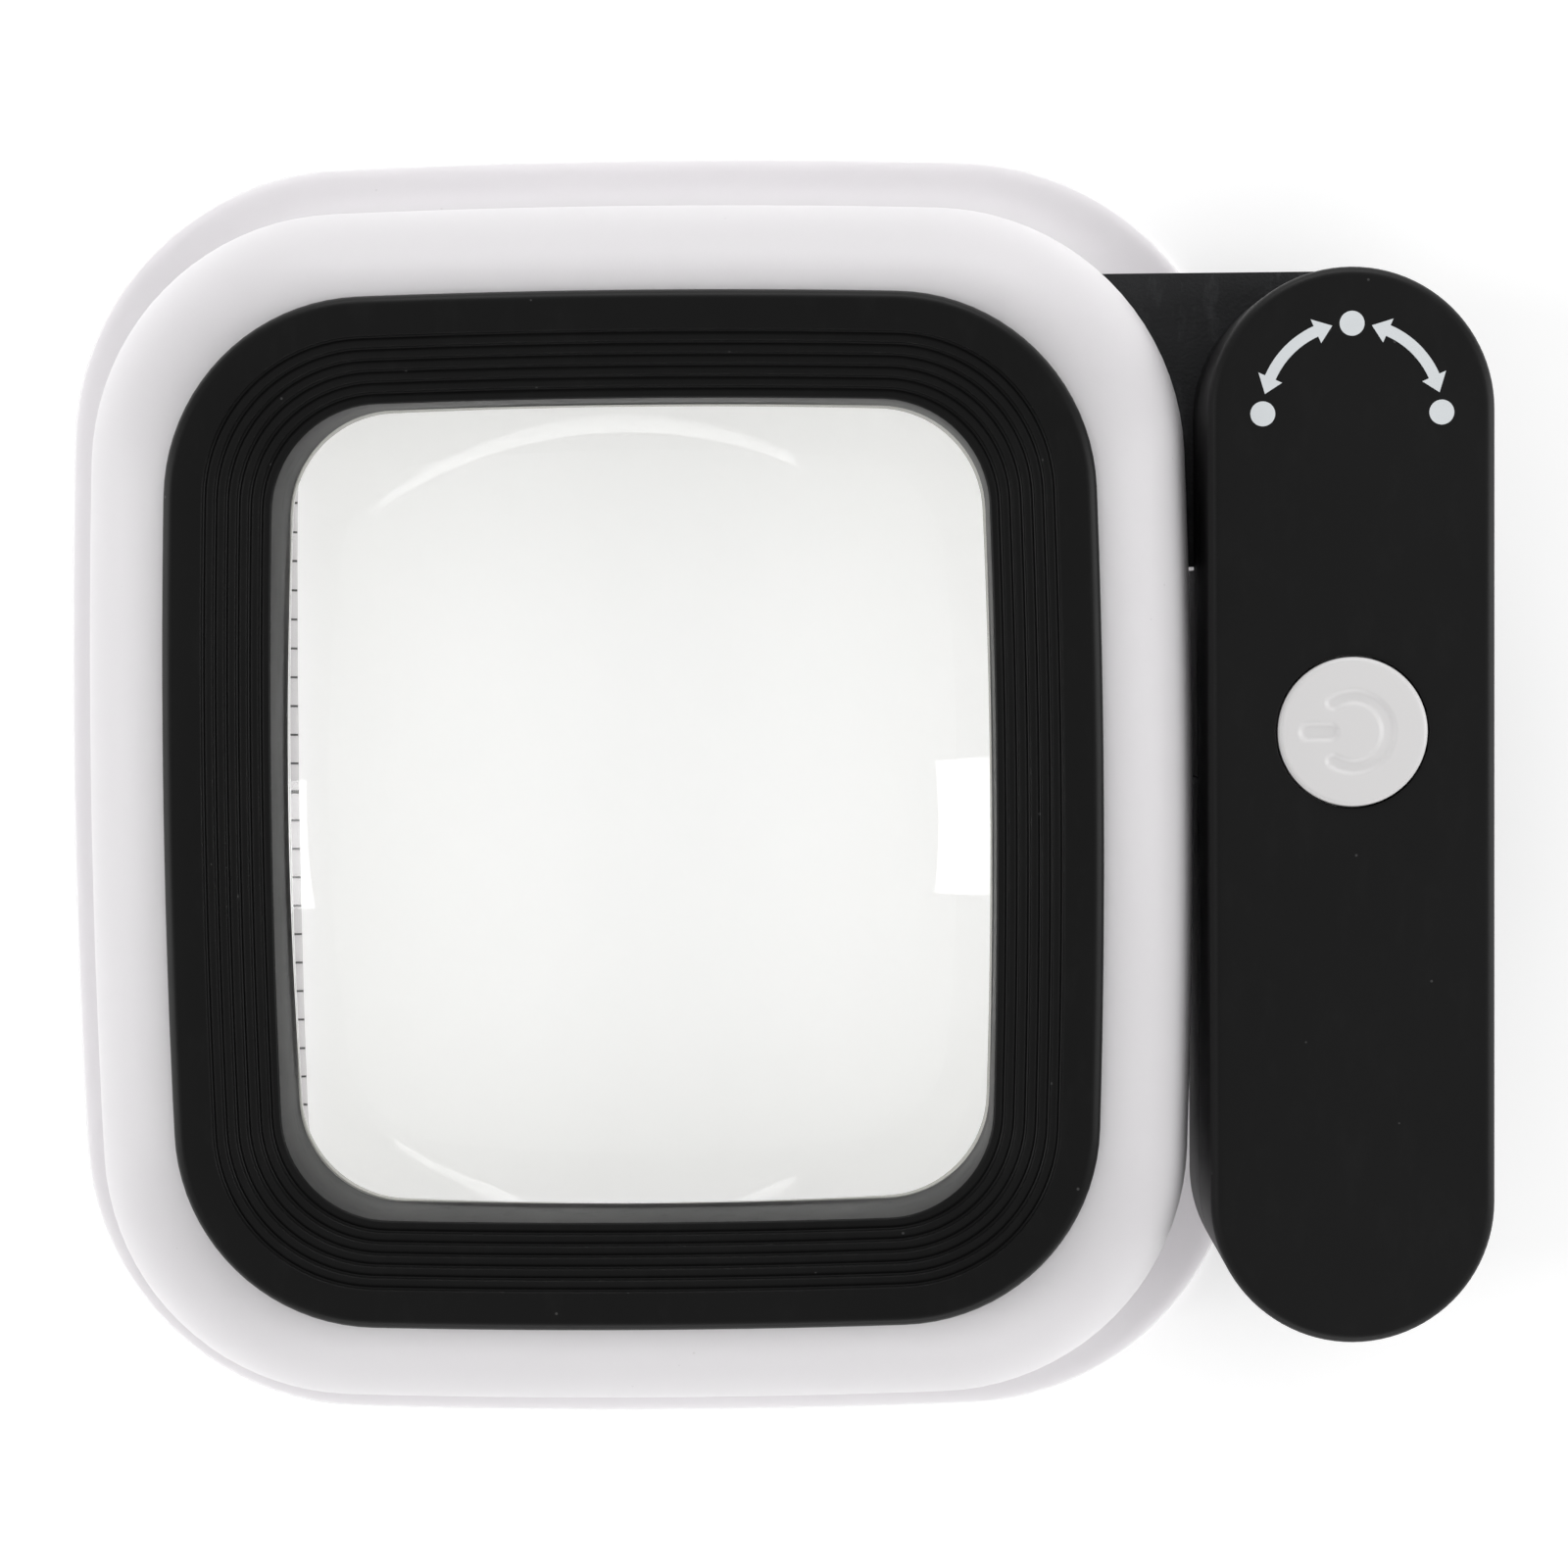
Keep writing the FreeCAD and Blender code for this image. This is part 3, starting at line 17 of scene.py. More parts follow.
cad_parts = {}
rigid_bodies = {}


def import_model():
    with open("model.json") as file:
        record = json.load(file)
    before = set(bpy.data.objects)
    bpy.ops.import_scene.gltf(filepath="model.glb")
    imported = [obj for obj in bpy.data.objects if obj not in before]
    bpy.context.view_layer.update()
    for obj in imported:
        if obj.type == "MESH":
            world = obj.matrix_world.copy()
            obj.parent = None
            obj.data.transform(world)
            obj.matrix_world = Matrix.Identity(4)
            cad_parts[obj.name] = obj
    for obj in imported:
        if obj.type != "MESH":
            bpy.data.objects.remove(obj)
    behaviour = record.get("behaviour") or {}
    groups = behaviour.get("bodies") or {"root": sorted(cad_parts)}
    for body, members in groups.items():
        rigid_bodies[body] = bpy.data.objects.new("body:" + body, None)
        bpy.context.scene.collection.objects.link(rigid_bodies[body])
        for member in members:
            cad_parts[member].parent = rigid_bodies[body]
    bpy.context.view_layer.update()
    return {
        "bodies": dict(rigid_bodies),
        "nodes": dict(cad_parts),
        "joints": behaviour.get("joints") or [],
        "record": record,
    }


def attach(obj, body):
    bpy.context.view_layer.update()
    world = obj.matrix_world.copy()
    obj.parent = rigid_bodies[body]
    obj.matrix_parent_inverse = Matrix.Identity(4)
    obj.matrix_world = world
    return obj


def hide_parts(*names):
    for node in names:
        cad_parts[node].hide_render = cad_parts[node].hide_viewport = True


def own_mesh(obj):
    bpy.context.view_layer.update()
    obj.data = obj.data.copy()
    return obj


LOG = logging.getLogger("stand_magnifier")
MM = 0.001
WHITE = (1.0, 1.0, 1.0, 1.0)
Colour = tuple[float, float, float]
Height = Union[float, Callable[[float, float], float]]


def mix(a: float, b: float, t: float) -> float:
    """Value a part t of the way from a to b."""
    return a + (b - a) * t


def smooth_step(edge0: float, edge1: float, value: float) -> float:
    """Soft step from 0 at edge0 to 1 at edge1.

    Args:
        edge0: Where the step begins.
        edge1: Where the step ends.
        value: The value to place on it.

    Returns:
        A number from 0 to 1.
    """
    t = min(1.0, max(0.0, (value - edge0) / (edge1 - edge0)))
    return t * t * (3.0 - 2.0 * t)


def quarter_turn(steps: int, first: int = 1) -> list[tuple[float, float]]:
    """1 - cos and 1 - sin at even steps along a quarter turn, for rounding an edge.

    Args:
        steps: How many steps the quarter has.
        first: The step to begin with.

    Returns:
        One pair for each step.
    """
    turns = [math.pi / 2 * i / steps for i in range(first, steps + 1)]
    return [(1 - math.cos(turn), 1 - math.sin(turn)) for turn in turns]


# ---- outlines seen from above -------------------------------------------------------------------


@dataclass(frozen=True)
class RoundedFrame:
    """Rectangle with slightly bowed sides and tangent corner arcs, in millimetres."""

    size_x: float
    size_y: float
    corner: float
    bow: float = 900.0
    side_steps: int = 10
    corner_steps: int = 20

    @property
    def count(self) -> int:
        """Number of points round the outline."""
        return 4 * (2 * self.side_steps + self.corner_steps)

    def _quarter(self, step: int) -> tuple[float, float]:
        """Point of the first quarter, from the +X axis at step 0 to the +Y axis.

        Args:
            step: Index along the quarter.

        Returns:
            x and y in millimetres.
        """
        a = self.bow - self.size_x / 2
        b = self.bow - self.size_y / 2
        half = math.hypot(a, b) / 2
        rise = math.sqrt((self.bow - self.corner) ** 2 - half ** 2)
        centre_x = -a / 2 + rise * b / (2 * half)
        centre_y = -b / 2 + rise * a / (2 * half)
        first = math.atan2(centre_y, centre_x + a)
        last = math.atan2(centre_y + b, centre_x)
        if step <= self.side_steps:
            angle = first * step / self.side_steps
            return self.bow * math.cos(angle) - a, self.bow * math.sin(angle)
        step -= self.side_steps
        if step <= self.corner_steps:
            angle = mix(first, last, step / self.corner_steps)
            return centre_x + self.corner * math.cos(angle), centre_y + self.corner * math.sin(angle)
        step -= self.corner_steps
        angle = mix(last, math.pi / 2, step / self.side_steps)
        return self.bow * math.cos(angle), self.bow * math.sin(angle) - b

    def point(self, index: int) -> tuple[float, float]:
        """Point of the outline.

        Args:
            index: Index round the outline, anticlockwise from the +X axis.

        Returns:
            x and y in millimetres.
        """
        quarter = self.count // 4
        turn, step = divmod(index % self.count, quarter)
        x, y = self._quarter(quarter - step if turn % 2 else step)
        return (-x if turn in (1, 2) else x), (-y if turn in (2, 3) else y)


@dataclass(frozen=True)
class Pill:
    """Two half circles joined by straight sides, in millimetres."""

    radius: float
    centre_x: float
    top_y: float
    span: float
    arc_steps: int = 48
    side_steps: int = 20

    @property
    def count(self) -> int:
        """Number of points round the outline."""
        return 2 * (self.arc_steps + self.side_steps)

    def point(self, index: int) -> tuple[float, float]:
        """Point of the outline, anticlockwise from the start of the upper arc.

        Args:
            index: Index round the outline.

        Returns:
            x and y in millimetres.
        """
        half = self.arc_steps + self.side_steps
        turn, step = divmod(index % self.count, half)
        sign = -1.0 if turn else 1.0
        end_y = self.top_y - (self.span if turn else 0.0)
        if step <= self.arc_steps:
            angle = math.pi * step / self.arc_steps
            return (self.centre_x + sign * self.radius * math.cos(angle),
                    end_y + sign * self.radius * math.sin(angle))
        along = self.span * (step - self.arc_steps) / self.side_steps
        return self.centre_x - sign * self.radius, end_y - sign * along


@dataclass(frozen=True)
class Circle:
    """Circle in millimetres. Its points may face those of another outline."""

    radius: float
    centre_x: float = 0.0
    centre_y: float = 0.0
    steps: int = 96
    facing: Optional[Pill] = None

    @property
    def count(self) -> int:
        """Number of points round the circle."""
        return self.facing.count if self.facing else self.steps

    def point(self, index: int) -> tuple[float, float]:
        """Point of the circle.

        Args:
            index: Index round the circle.

        Returns:
            x and y in millimetres.
        """
        angle = 2 * math.pi * index / self.count
        if self.facing:
            far_x, far_y = self.facing.point(index)
            angle = math.atan2(far_y - self.centre_y, far_x - self.centre_x)
        return self.centre_x + self.radius * math.cos(angle), self.centre_y + self.radius * math.sin(angle)


Outline = Union[RoundedFrame, Pill, Circle]


def scaled(outline: Outline, share: float) -> Callable[[int], tuple[float, float]]:
    """Points of an outline drawn in towards the origin.

    Args:
        outline: The full outline.
        share: How much of its size is left.

    Returns:
        A function from index to x and y in millimetres.
    """
    return lambda index: (outline.point(index)[0] * share, outline.point(index)[1] * share)


# ---- skins --------------------------------------------------------------------------------------


class Ends(Enum):
    """How a skin is finished at its first and last outline."""

    RING = "last outline joined back to the first"
    CAPPED = "a face over each end"


class Skin:
    """Surface carried from outline to outline by extruding its edge."""

    def __init__(self, outline: Outline, z: Height) -> None:
        """Starts the skin.

        Args:
            outline: First outline.
            z: Its height in millimetres, or a function of x and y.
        """
        self.mesh = bmesh.new()
        self.turn = self.mesh.verts.layers.int.new("turn")
        ring = bmesh.ops.create_circle(self.mesh, cap_ends=False, segments=outline.count, radius=1.0)
        for index, vert in enumerate(ring["verts"]):
            vert[self.turn] = index
        self.edges = list(self.mesh.edges)
        self.first = list(self.edges)
        self.set_ring(ring["verts"], outline.point, z)

    def set_ring(self, verts: Sequence[bmesh.types.BMVert], point: Callable[[int], tuple[float, float]],
                 z: Height) -> None:
        """Sets one ring of points on its outline.

        Args:
            verts: The ring.
            point: From index to x and y in millimetres.
            z: Height in millimetres, or a function of x and y.
        """
        for vert in verts:
            x, y = point(vert[self.turn])
            height = z(x, y) if callable(z) else z
            vert.co = Vector((x, y, height)) * MM

    def to(self, point: Callable[[int], tuple[float, float]], z: Height) -> "Skin":
        """Carries the skin on to another outline.

        Args:
            point: From index to x and y in millimetres.
            z: Height in millimetres, or a function of x and y.

        Returns:
            The skin itself.
        """
        grown = bmesh.ops.extrude_edge_only(self.mesh, edges=self.edges)["geom"]
        verts = [item for item in grown if isinstance(item, bmesh.types.BMVert)]
        fresh = set(verts)
        self.edges = [item for item in grown if isinstance(item, bmesh.types.BMEdge)
                      and item.verts[0] in fresh and item.verts[1] in fresh]
        self.set_ring(verts, point, z)
        return self

    def close(self, ends: Ends) -> "Skin":
        """Closes the skin into a solid's surface.

        Args:
            ends: How it is closed.

        Returns:
            The skin itself.
        """
        if ends is Ends.RING:
            bmesh.ops.bridge_loops(self.mesh, edges=self.first + self.edges)
        else:
            bmesh.ops.contextual_create(self.mesh, geom=self.first)
            bmesh.ops.contextual_create(self.mesh, geom=self.edges)
        return self


def finish_mesh(mesh: bmesh.types.BMesh, name: str, crease_deg: float = 32.0) -> bpy.types.Object:
    """Turns a bmesh into an object at the origin with outward, smooth faces and crisp creases.

    Args:
        mesh: The finished bmesh. It is freed.
        name: The piece's name.
        crease_deg: Edges that turn more than this stay crisp.

    Returns:
        The new object.
    """
    bmesh.ops.remove_doubles(mesh, verts=mesh.verts, dist=1e-7)
    bmesh.ops.recalc_face_normals(mesh, faces=mesh.faces)
    for face in mesh.faces:
        face.smooth = True
    limit = math.radians(crease_deg)
    for edge in mesh.edges:
        edge.smooth = len(edge.link_faces) == 2 and edge.calc_face_angle(0.0) < limit
    data = bpy.data.meshes.new(name)
    mesh.to_mesh(data)
    mesh.free()
    piece = bpy.data.objects.new(name, data)
    bpy.context.scene.collection.objects.link(piece)
    return piece


# ---- shader nodes -------------------------------------------------------------------------------


class Signal:
    """A shader socket that takes part in sums."""

    def __init__(self, tree: bpy.types.NodeTree, socket: bpy.types.NodeSocket) -> None:
        """Keeps the tree and the socket."""
        self.tree = tree
        self.socket = socket

    def _sum(self, operation: str, first: Any, second: Any) -> "Signal":
        """Adds one Math node.

        Args:
            operation: The Math node's operation.
            first: A signal or a number.
            second: A signal or a number.

        Returns:
            The result's signal.
        """
        node = self.tree.nodes.new("ShaderNodeMath")
        node.operation = operation
        for slot, value in zip(node.inputs, (first, second)):
            if isinstance(value, Signal):
                self.tree.links.new(value.socket, slot)
            else:
                slot.default_value = value
        return Signal(self.tree, node.outputs[0])

    def __add__(self, other: Any) -> "Signal":
        """Sum with a signal or number."""
        return self._sum("ADD", self, other)

    def __radd__(self, other: Any) -> "Signal":
        """Sum with a number on the left."""
        return self._sum("ADD", other, self)

    def __sub__(self, other: Any) -> "Signal":
        """Difference from a signal or number."""
        return self._sum("SUBTRACT", self, other)

    def __rsub__(self, other: Any) -> "Signal":
        """Difference from a number on the left."""
        return self._sum("SUBTRACT", other, self)

    def __mul__(self, other: Any) -> "Signal":
        """Product with a signal or number."""
        return self._sum("MULTIPLY", self, other)

    def __rmul__(self, other: Any) -> "Signal":
        """Product with a number on the left."""
        return self._sum("MULTIPLY", other, self)

    def __gt__(self, other: Any) -> "Signal":
        """1 where the signal is greater, else 0."""
        return self._sum("GREATER_THAN", self, other)


class Recipe:
    """One material's node tree, built round a Principled shader."""

    def __init__(self, name: str) -> None:
        """Starts an empty tree with a Principled shader and an output.

        Args:
            name: The material's name.
        """
        self.material = bpy.data.materials.new(name)
        self.material.use_nodes = True
        self.tree = self.material.node_tree
        self.tree.nodes.clear()
        self.shader = self.tree.nodes.new("ShaderNodeBsdfPrincipled")
        output = self.tree.nodes.new("ShaderNodeOutputMaterial")
        self.tree.links.new(self.shader.outputs[0], output.inputs[0])
        self.place = self.add("ShaderNodeTexCoord", output="Object")

    def add(self, kind: str, settings: Optional[dict[str, Any]] = None,
            sockets: Optional[dict[Any, Any]] = None, output: Any = 0) -> Signal:
        """Adds a node.

        Args:
            kind: The node's type name.
            settings: Its properties. "stops" sets a ramp's (position, colour) pairs.
            sockets: Values or signals of its inputs, by name or number.
            output: Name or number of the output that is wanted.

        Returns:
            The signal of that output.
        """
        node = self.tree.nodes.new(kind)
        for key, value in (settings or {}).items():
            if key == "stops":
                ramp = node.color_ramp.elements
                while len(ramp) < len(value):
                    ramp.new(1.0)
                for stop, (position, colour) in zip(ramp, value):
                    stop.position = position
                    stop.color = (*colour, 1.0)
            else:
                setattr(node, key, value)
        for key, value in (sockets or {}).items():
            if isinstance(value, Signal):
                self.tree.links.new(value.socket, node.inputs[key])
            else:
                node.inputs[key].default_value = value
        return Signal(self.tree, node.outputs[output])

    def noise(self, size: float, detail: float = 2.0, at: Optional[Signal] = None,
              roughness: float = 0.5) -> Signal:
        """Soft random pattern.

        Args:
            size: Width of its largest features in metres.
            detail: How many finer layers it has.
            at: Where it is read. None reads the piece's own place.
            roughness: Weight of the finer layers.

        Returns:
            A value from 0 to 1.
        """
        return self.add("ShaderNodeTexNoise", sockets={
            "Vector": at or self.place, "Scale": 1.0 / size, "Detail": detail, "Roughness": roughness})

    def stretched(self, scale: tuple[float, float, float]) -> Signal:
        """The piece's place with each axis scaled."""
        return self.add("ShaderNodeMapping", sockets={"Vector": self.place, "Scale": scale})

    def blend(self, amount: Any, first: Any, second: Any) -> Signal:
        """Mixes two colours.

        Args:
            amount: How much of the second, as a signal or number.
            first: A signal or an RGB triple.
            second: A signal or an RGB triple.

        Returns:
            The mixed colour.
        """
        colours = [value if isinstance(value, Signal) else (*value, 1.0) for value in (first, second)]
        return self.add("ShaderNodeMix", {"data_type": "RGBA"}, {0: amount, 6: colours[0], 7: colours[1]}, 2)

    def drive(self, **inputs: Any) -> None:
        """Sets the Principled shader's inputs.

        Args:
            **inputs: Value or signal by socket name, with _ for a space.
        """
        for key, value in inputs.items():
            slot = self.shader.inputs[key.replace("_", " ")]
            if isinstance(value, Signal):
                self.tree.links.new(value.socket, slot)
            else:
                slot.default_value = value

    def relief(self, height: Signal, depth: float) -> Signal:
        """Surface relief.

        Args:
            height: Height from 0 to 1.
            depth: Height of 1 in metres.

        Returns:
            The normal.
        """
        return self.add("ShaderNodeBump", sockets={"Strength": 1.0, "Distance": depth, "Height": height})


# ---- finishes -----------------------------------------------------------------------------------


@dataclass(frozen=True)
class Moulded:
    """Moulded plastic with grain, faint mottling, fine scuffs, a few specks of dust and, where set, a
    painted glow.
    """

    slot: str
    colour: Colour
    roughness: float
    grain: float = 0.25 * MM
    grain_depth: float = 0.004 * MM
    mottle: float = 0.05
    mottle_size: float = 14.0 * MM
    scuffs: float = 0.0
    scuff_colour: Colour = (0.5, 0.5, 0.5)
    dust: float = 0.0
    dust_colour: Colour = (0.6, 0.6, 0.6)
    coat: float = 0.0
    # Painted glow: emission strength that makes the plastic glow faintly though it is no lamp.
    painted_glow: float = 0.0
    specular: float = 0.5
    spread: float = 0.0
    streak_size: ClassVar[float] = 2.2 * MM
    streak_stretch: ClassVar[Colour] = (1.0, 0.35, 1.0)
    speck_pitch: ClassVar[float] = 4.0 * MM
    speck_share: ClassVar[float] = 0.035
    spread_colour: ClassVar[Colour] = (1.0, 0.97, 1.0)

    def build(self) -> bpy.types.Material:
        """Builds the material.

        Returns:
            The material.
        """
        recipe = Recipe(self.slot + "_finish")
        cloud = recipe.noise(self.mottle_size, 3.0)
        light = tuple(min(1.0, part * (1.0 + self.mottle)) for part in self.colour)
        dark = tuple(part * (1.0 - self.mottle) for part in self.colour)
        colour = recipe.blend(cloud, dark, light)
        streaks = recipe.noise(self.streak_size, 5.0, recipe.stretched(self.streak_stretch), 0.7)
        worn = recipe.add("ShaderNodeValToRGB", {"stops": [(0.52, (0, 0, 0)), (0.74, (1, 1, 1))]},
                          {0: streaks})
        if self.scuffs:
            colour = recipe.blend(worn * self.scuffs, colour, self.scuff_colour)
        if self.dust:
            speck = recipe.add("ShaderNodeTexVoronoi", {"feature": "F1"},
                               {"Vector": recipe.place, "Scale": 1.0 / self.speck_pitch}, "Distance")
            colour = recipe.blend((self.speck_share - speck > 0.0) * self.dust, colour, self.dust_colour)
        grain = recipe.noise(self.grain, 2.0)
        recipe.drive(Base_Color=colour, Roughness=self.roughness + (cloud - 0.5) * 0.08 + worn * 0.05,
                     Normal=recipe.relief(grain, self.grain_depth), Specular_IOR_Level=self.specular,
                     Coat_Weight=self.coat, Coat_Roughness=0.2)
        if self.spread:
            recipe.drive(Subsurface_Weight=1.0, Subsurface_Radius=self.spread_colour,
                         Subsurface_Scale=self.spread)
        # Painted light: a faint warm emission, as if the plastic were lit from within.
        if self.painted_glow:
            recipe.drive(Emission_Color=(1.0, 0.99, 0.97, 1.0), Emission_Strength=self.painted_glow)
        return recipe.material


@dataclass(frozen=True)
class Metal:
    """Plain or plated metal with fine tool lines."""

    slot: str
    colour: Colour
    roughness: float
    lines: tuple[float, float, float] = (1.0, 1.0, 12.0)
    line_size: float = 1.2 * MM
    depth: float = 0.002 * MM

    def build(self) -> bpy.types.Material:
        """Builds the material.

        Returns:
            The material.
        """
        recipe = Recipe(self.slot + "_finish")
        lines = recipe.noise(self.line_size, 3.0, recipe.stretched(self.lines))
        tarnish = recipe.noise(5.0 * MM, 4.0)
        dull = tuple(part * 0.82 for part in self.colour)
        recipe.drive(Base_Color=recipe.blend(tarnish, dull, self.colour), Metallic=1.0,
                     Roughness=self.roughness + (lines - 0.5) * 0.15 + (tarnish - 0.5) * 0.1,
                     Normal=recipe.relief(lines, self.depth))
        return recipe.material


@dataclass(frozen=True)
class Board:
    """Circuit board: solder mask over faint traces."""

    slot: str
    mask: Colour
    trace: Colour

    def build(self) -> bpy.types.Material:
        """Builds the material.

        Returns:
            The material.
        """
        recipe = Recipe(self.slot + "_finish")
        cells = recipe.add("ShaderNodeTexVoronoi", {"feature": "DISTANCE_TO_EDGE"},
                           {"Vector": recipe.place, "Scale": 1.0 / (3.0 * MM)}, "Distance")
        path = recipe.add("ShaderNodeValToRGB", {"stops": [(0.02, (1, 1, 1)), (0.06, (0, 0, 0))]},
                          {0: cells})
        weave = recipe.noise(0.4 * MM, 2.0)
        recipe.drive(Base_Color=recipe.blend(path * 0.7, self.mask, self.trace),
                     Roughness=0.35 + weave * 0.1, Normal=recipe.relief(path * 0.6 + weave * 0.2, 0.02 * MM))
        return recipe.material


@dataclass(frozen=True)
class ClearLens:
    """Polished clear acrylic."""

    slot: str
    refraction: float = 1.49

    def build(self) -> bpy.types.Material:
        """Builds the material.

        Returns:
            The material.
        """
        recipe = Recipe(self.slot + "_finish")
        haze = recipe.noise(9.0 * MM, 4.0)
        recipe.drive(Base_Color=recipe.blend(haze, (0.985, 0.99, 0.985), (1.0, 1.0, 1.0)),
                     Roughness=haze * 0.012, IOR=self.refraction, Transmission_Weight=1.0)
        return recipe.material


FINISHES: tuple[Union[Moulded, Metal, Board, ClearLens], ...] = (
    Moulded("milky_shell", (0.725, 0.708, 0.725), 0.42, grain_depth=0.0012 * MM, mottle=0.012,
            mottle_size=30 * MM, dust=0.25, dust_colour=(0.45, 0.44, 0.44), spread=3.0 * MM),
    # The tunnel plastic's glow is painted light; the LEDs themselves are not switched on.
    Moulded("tunnel_plastic", (0.42, 0.415, 0.385), 0.5, grain_depth=0.002 * MM, mottle=0.01, painted_glow=0.04),
    Moulded("black_frame", (0.0050, 0.0050, 0.0050), 0.42, specular=0.18, grain=0.16 * MM,
            grain_depth=0.0035 * MM, mottle=0.10, scuffs=0.04, scuff_colour=(0.04, 0.04, 0.04), dust=0.4,
            dust_colour=(0.12, 0.12, 0.12)),
    Moulded("black_handle", (0.0066, 0.0066, 0.0067), 0.44, specular=0.20, grain=0.14 * MM,
            grain_depth=0.0035 * MM, mottle=0.08, scuffs=0.03, scuff_colour=(0.04, 0.04, 0.04), dust=0.35,
            dust_colour=(0.12, 0.12, 0.12)),
    Moulded("bracket_plastic", (0.016, 0.0165, 0.018), 0.6, specular=0.4, grain=0.32 * MM,
            grain_depth=0.06 * MM, mottle=0.45, mottle_size=5 * MM, scuffs=0.45,
            scuff_colour=(0.075, 0.076, 0.08)),
    ClearLens("lens_clear"),
    Moulded("white_button", (0.76, 0.75, 0.75), 0.40, grain_depth=0.001 * MM, mottle=0.012,
            mottle_size=8 * MM, dust=0.3, dust_colour=(0.4, 0.38, 0.36)),
    Moulded("white_ink", (0.72, 0.75, 0.77), 0.55, grain=0.1 * MM, mottle=0.05, mottle_size=3 * MM),
    Moulded("black_ink", (0.11, 0.11, 0.11), 0.6, grain=0.1 * MM, mottle=0.2, mottle_size=2 * MM),
    Moulded("soft_rubber", (0.09, 0.09, 0.095), 0.8, grain=0.3 * MM, grain_depth=0.01 * MM, mottle=0.15,
            mottle_size=3 * MM),
    Metal("zinc_steel", (0.62, 0.62, 0.60), 0.34),
    Metal("turned_steel", (0.56, 0.56, 0.57), 0.28, lines=(1.0, 1.0, 20.0)),
    Metal("spring_steel", (0.68, 0.68, 0.69), 0.22, lines=(2.0, 2.0, 2.0)),
    Metal("contact_plate", (0.70, 0.68, 0.64), 0.25, lines=(8.0, 1.0, 1.0)),
    Moulded("glide_plastic", (0.62, 0.60, 0.52), 0.5, mottle=0.04),
    Board("circuit_board", (0.015, 0.09, 0.03), (0.06, 0.22, 0.08)),
    Moulded("led_package", (0.85, 0.74, 0.30), 0.3, mottle=0.06, mottle_size=2 * MM),
    Moulded("cell_sleeve", (0.08, 0.09, 0.10), 0.3, mottle=0.1, mottle_size=5 * MM, coat=0.4),
    Moulded("cradle_plastic", (0.02, 0.02, 0.02), 0.5, mottle=0.1),
    Moulded("wire_cover", (0.30, 0.02, 0.015), 0.45, mottle=0.08, mottle_size=3 * MM),
)


class Finishing:
    """Builds every finish once and dresses pieces and frame nodes with them."""

    def __init__(self, frame: dict[str, Any]) -> None:
        """Builds the finishes.
        """
        self.frame = frame
        self.made = {finish.slot: finish.build() for finish in FINISHES}

    def dress(self, piece: bpy.types.Object, slot: str) -> None:
        """Gives a new piece its finish.

        Args:
            piece: The piece.
            slot: The record's material slot.
        """
        piece.data.materials.append(self.made[slot])

    def dress_frame(self) -> None:
        """Gives every carried-over frame node the finish of its slot."""
        slots = {part["node"]: part["material_slot"] for part in self.frame["record"]["subparts"]}
        for name, node in self.frame["nodes"].items():
            for place in node.material_slots:
                place.material = self.made[slots[name]]
            LOG.info("node %s dressed as %s", name, slots[name])


# ---- sub-assemblies -----------------------------------------------------------------------------


class Assembly:
    """What every sub-assembly shares: the body it rides on and how a piece is handed over."""

    body: ClassVar[str] = "stand"

    def hand_over(self, skin: Skin, name: str, slot: str, node: str,
                  finishing: Finishing) -> bpy.types.Object:
        """Finishes a piece and puts it in its node's place.

        Args:
            skin: The closed skin.
            name: The piece's name.
            slot: Material slot.
            node: The frame node it stands for.
            finishing: The finishes.

        Returns:
            The piece.
        """
        piece = finish_mesh(skin.mesh, name)
        finishing.dress(piece, slot)
        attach(piece, self.body)
        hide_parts(node)
        LOG.info("piece %s stands for %s, %d faces", name, node, len(piece.data.polygons))
        return piece


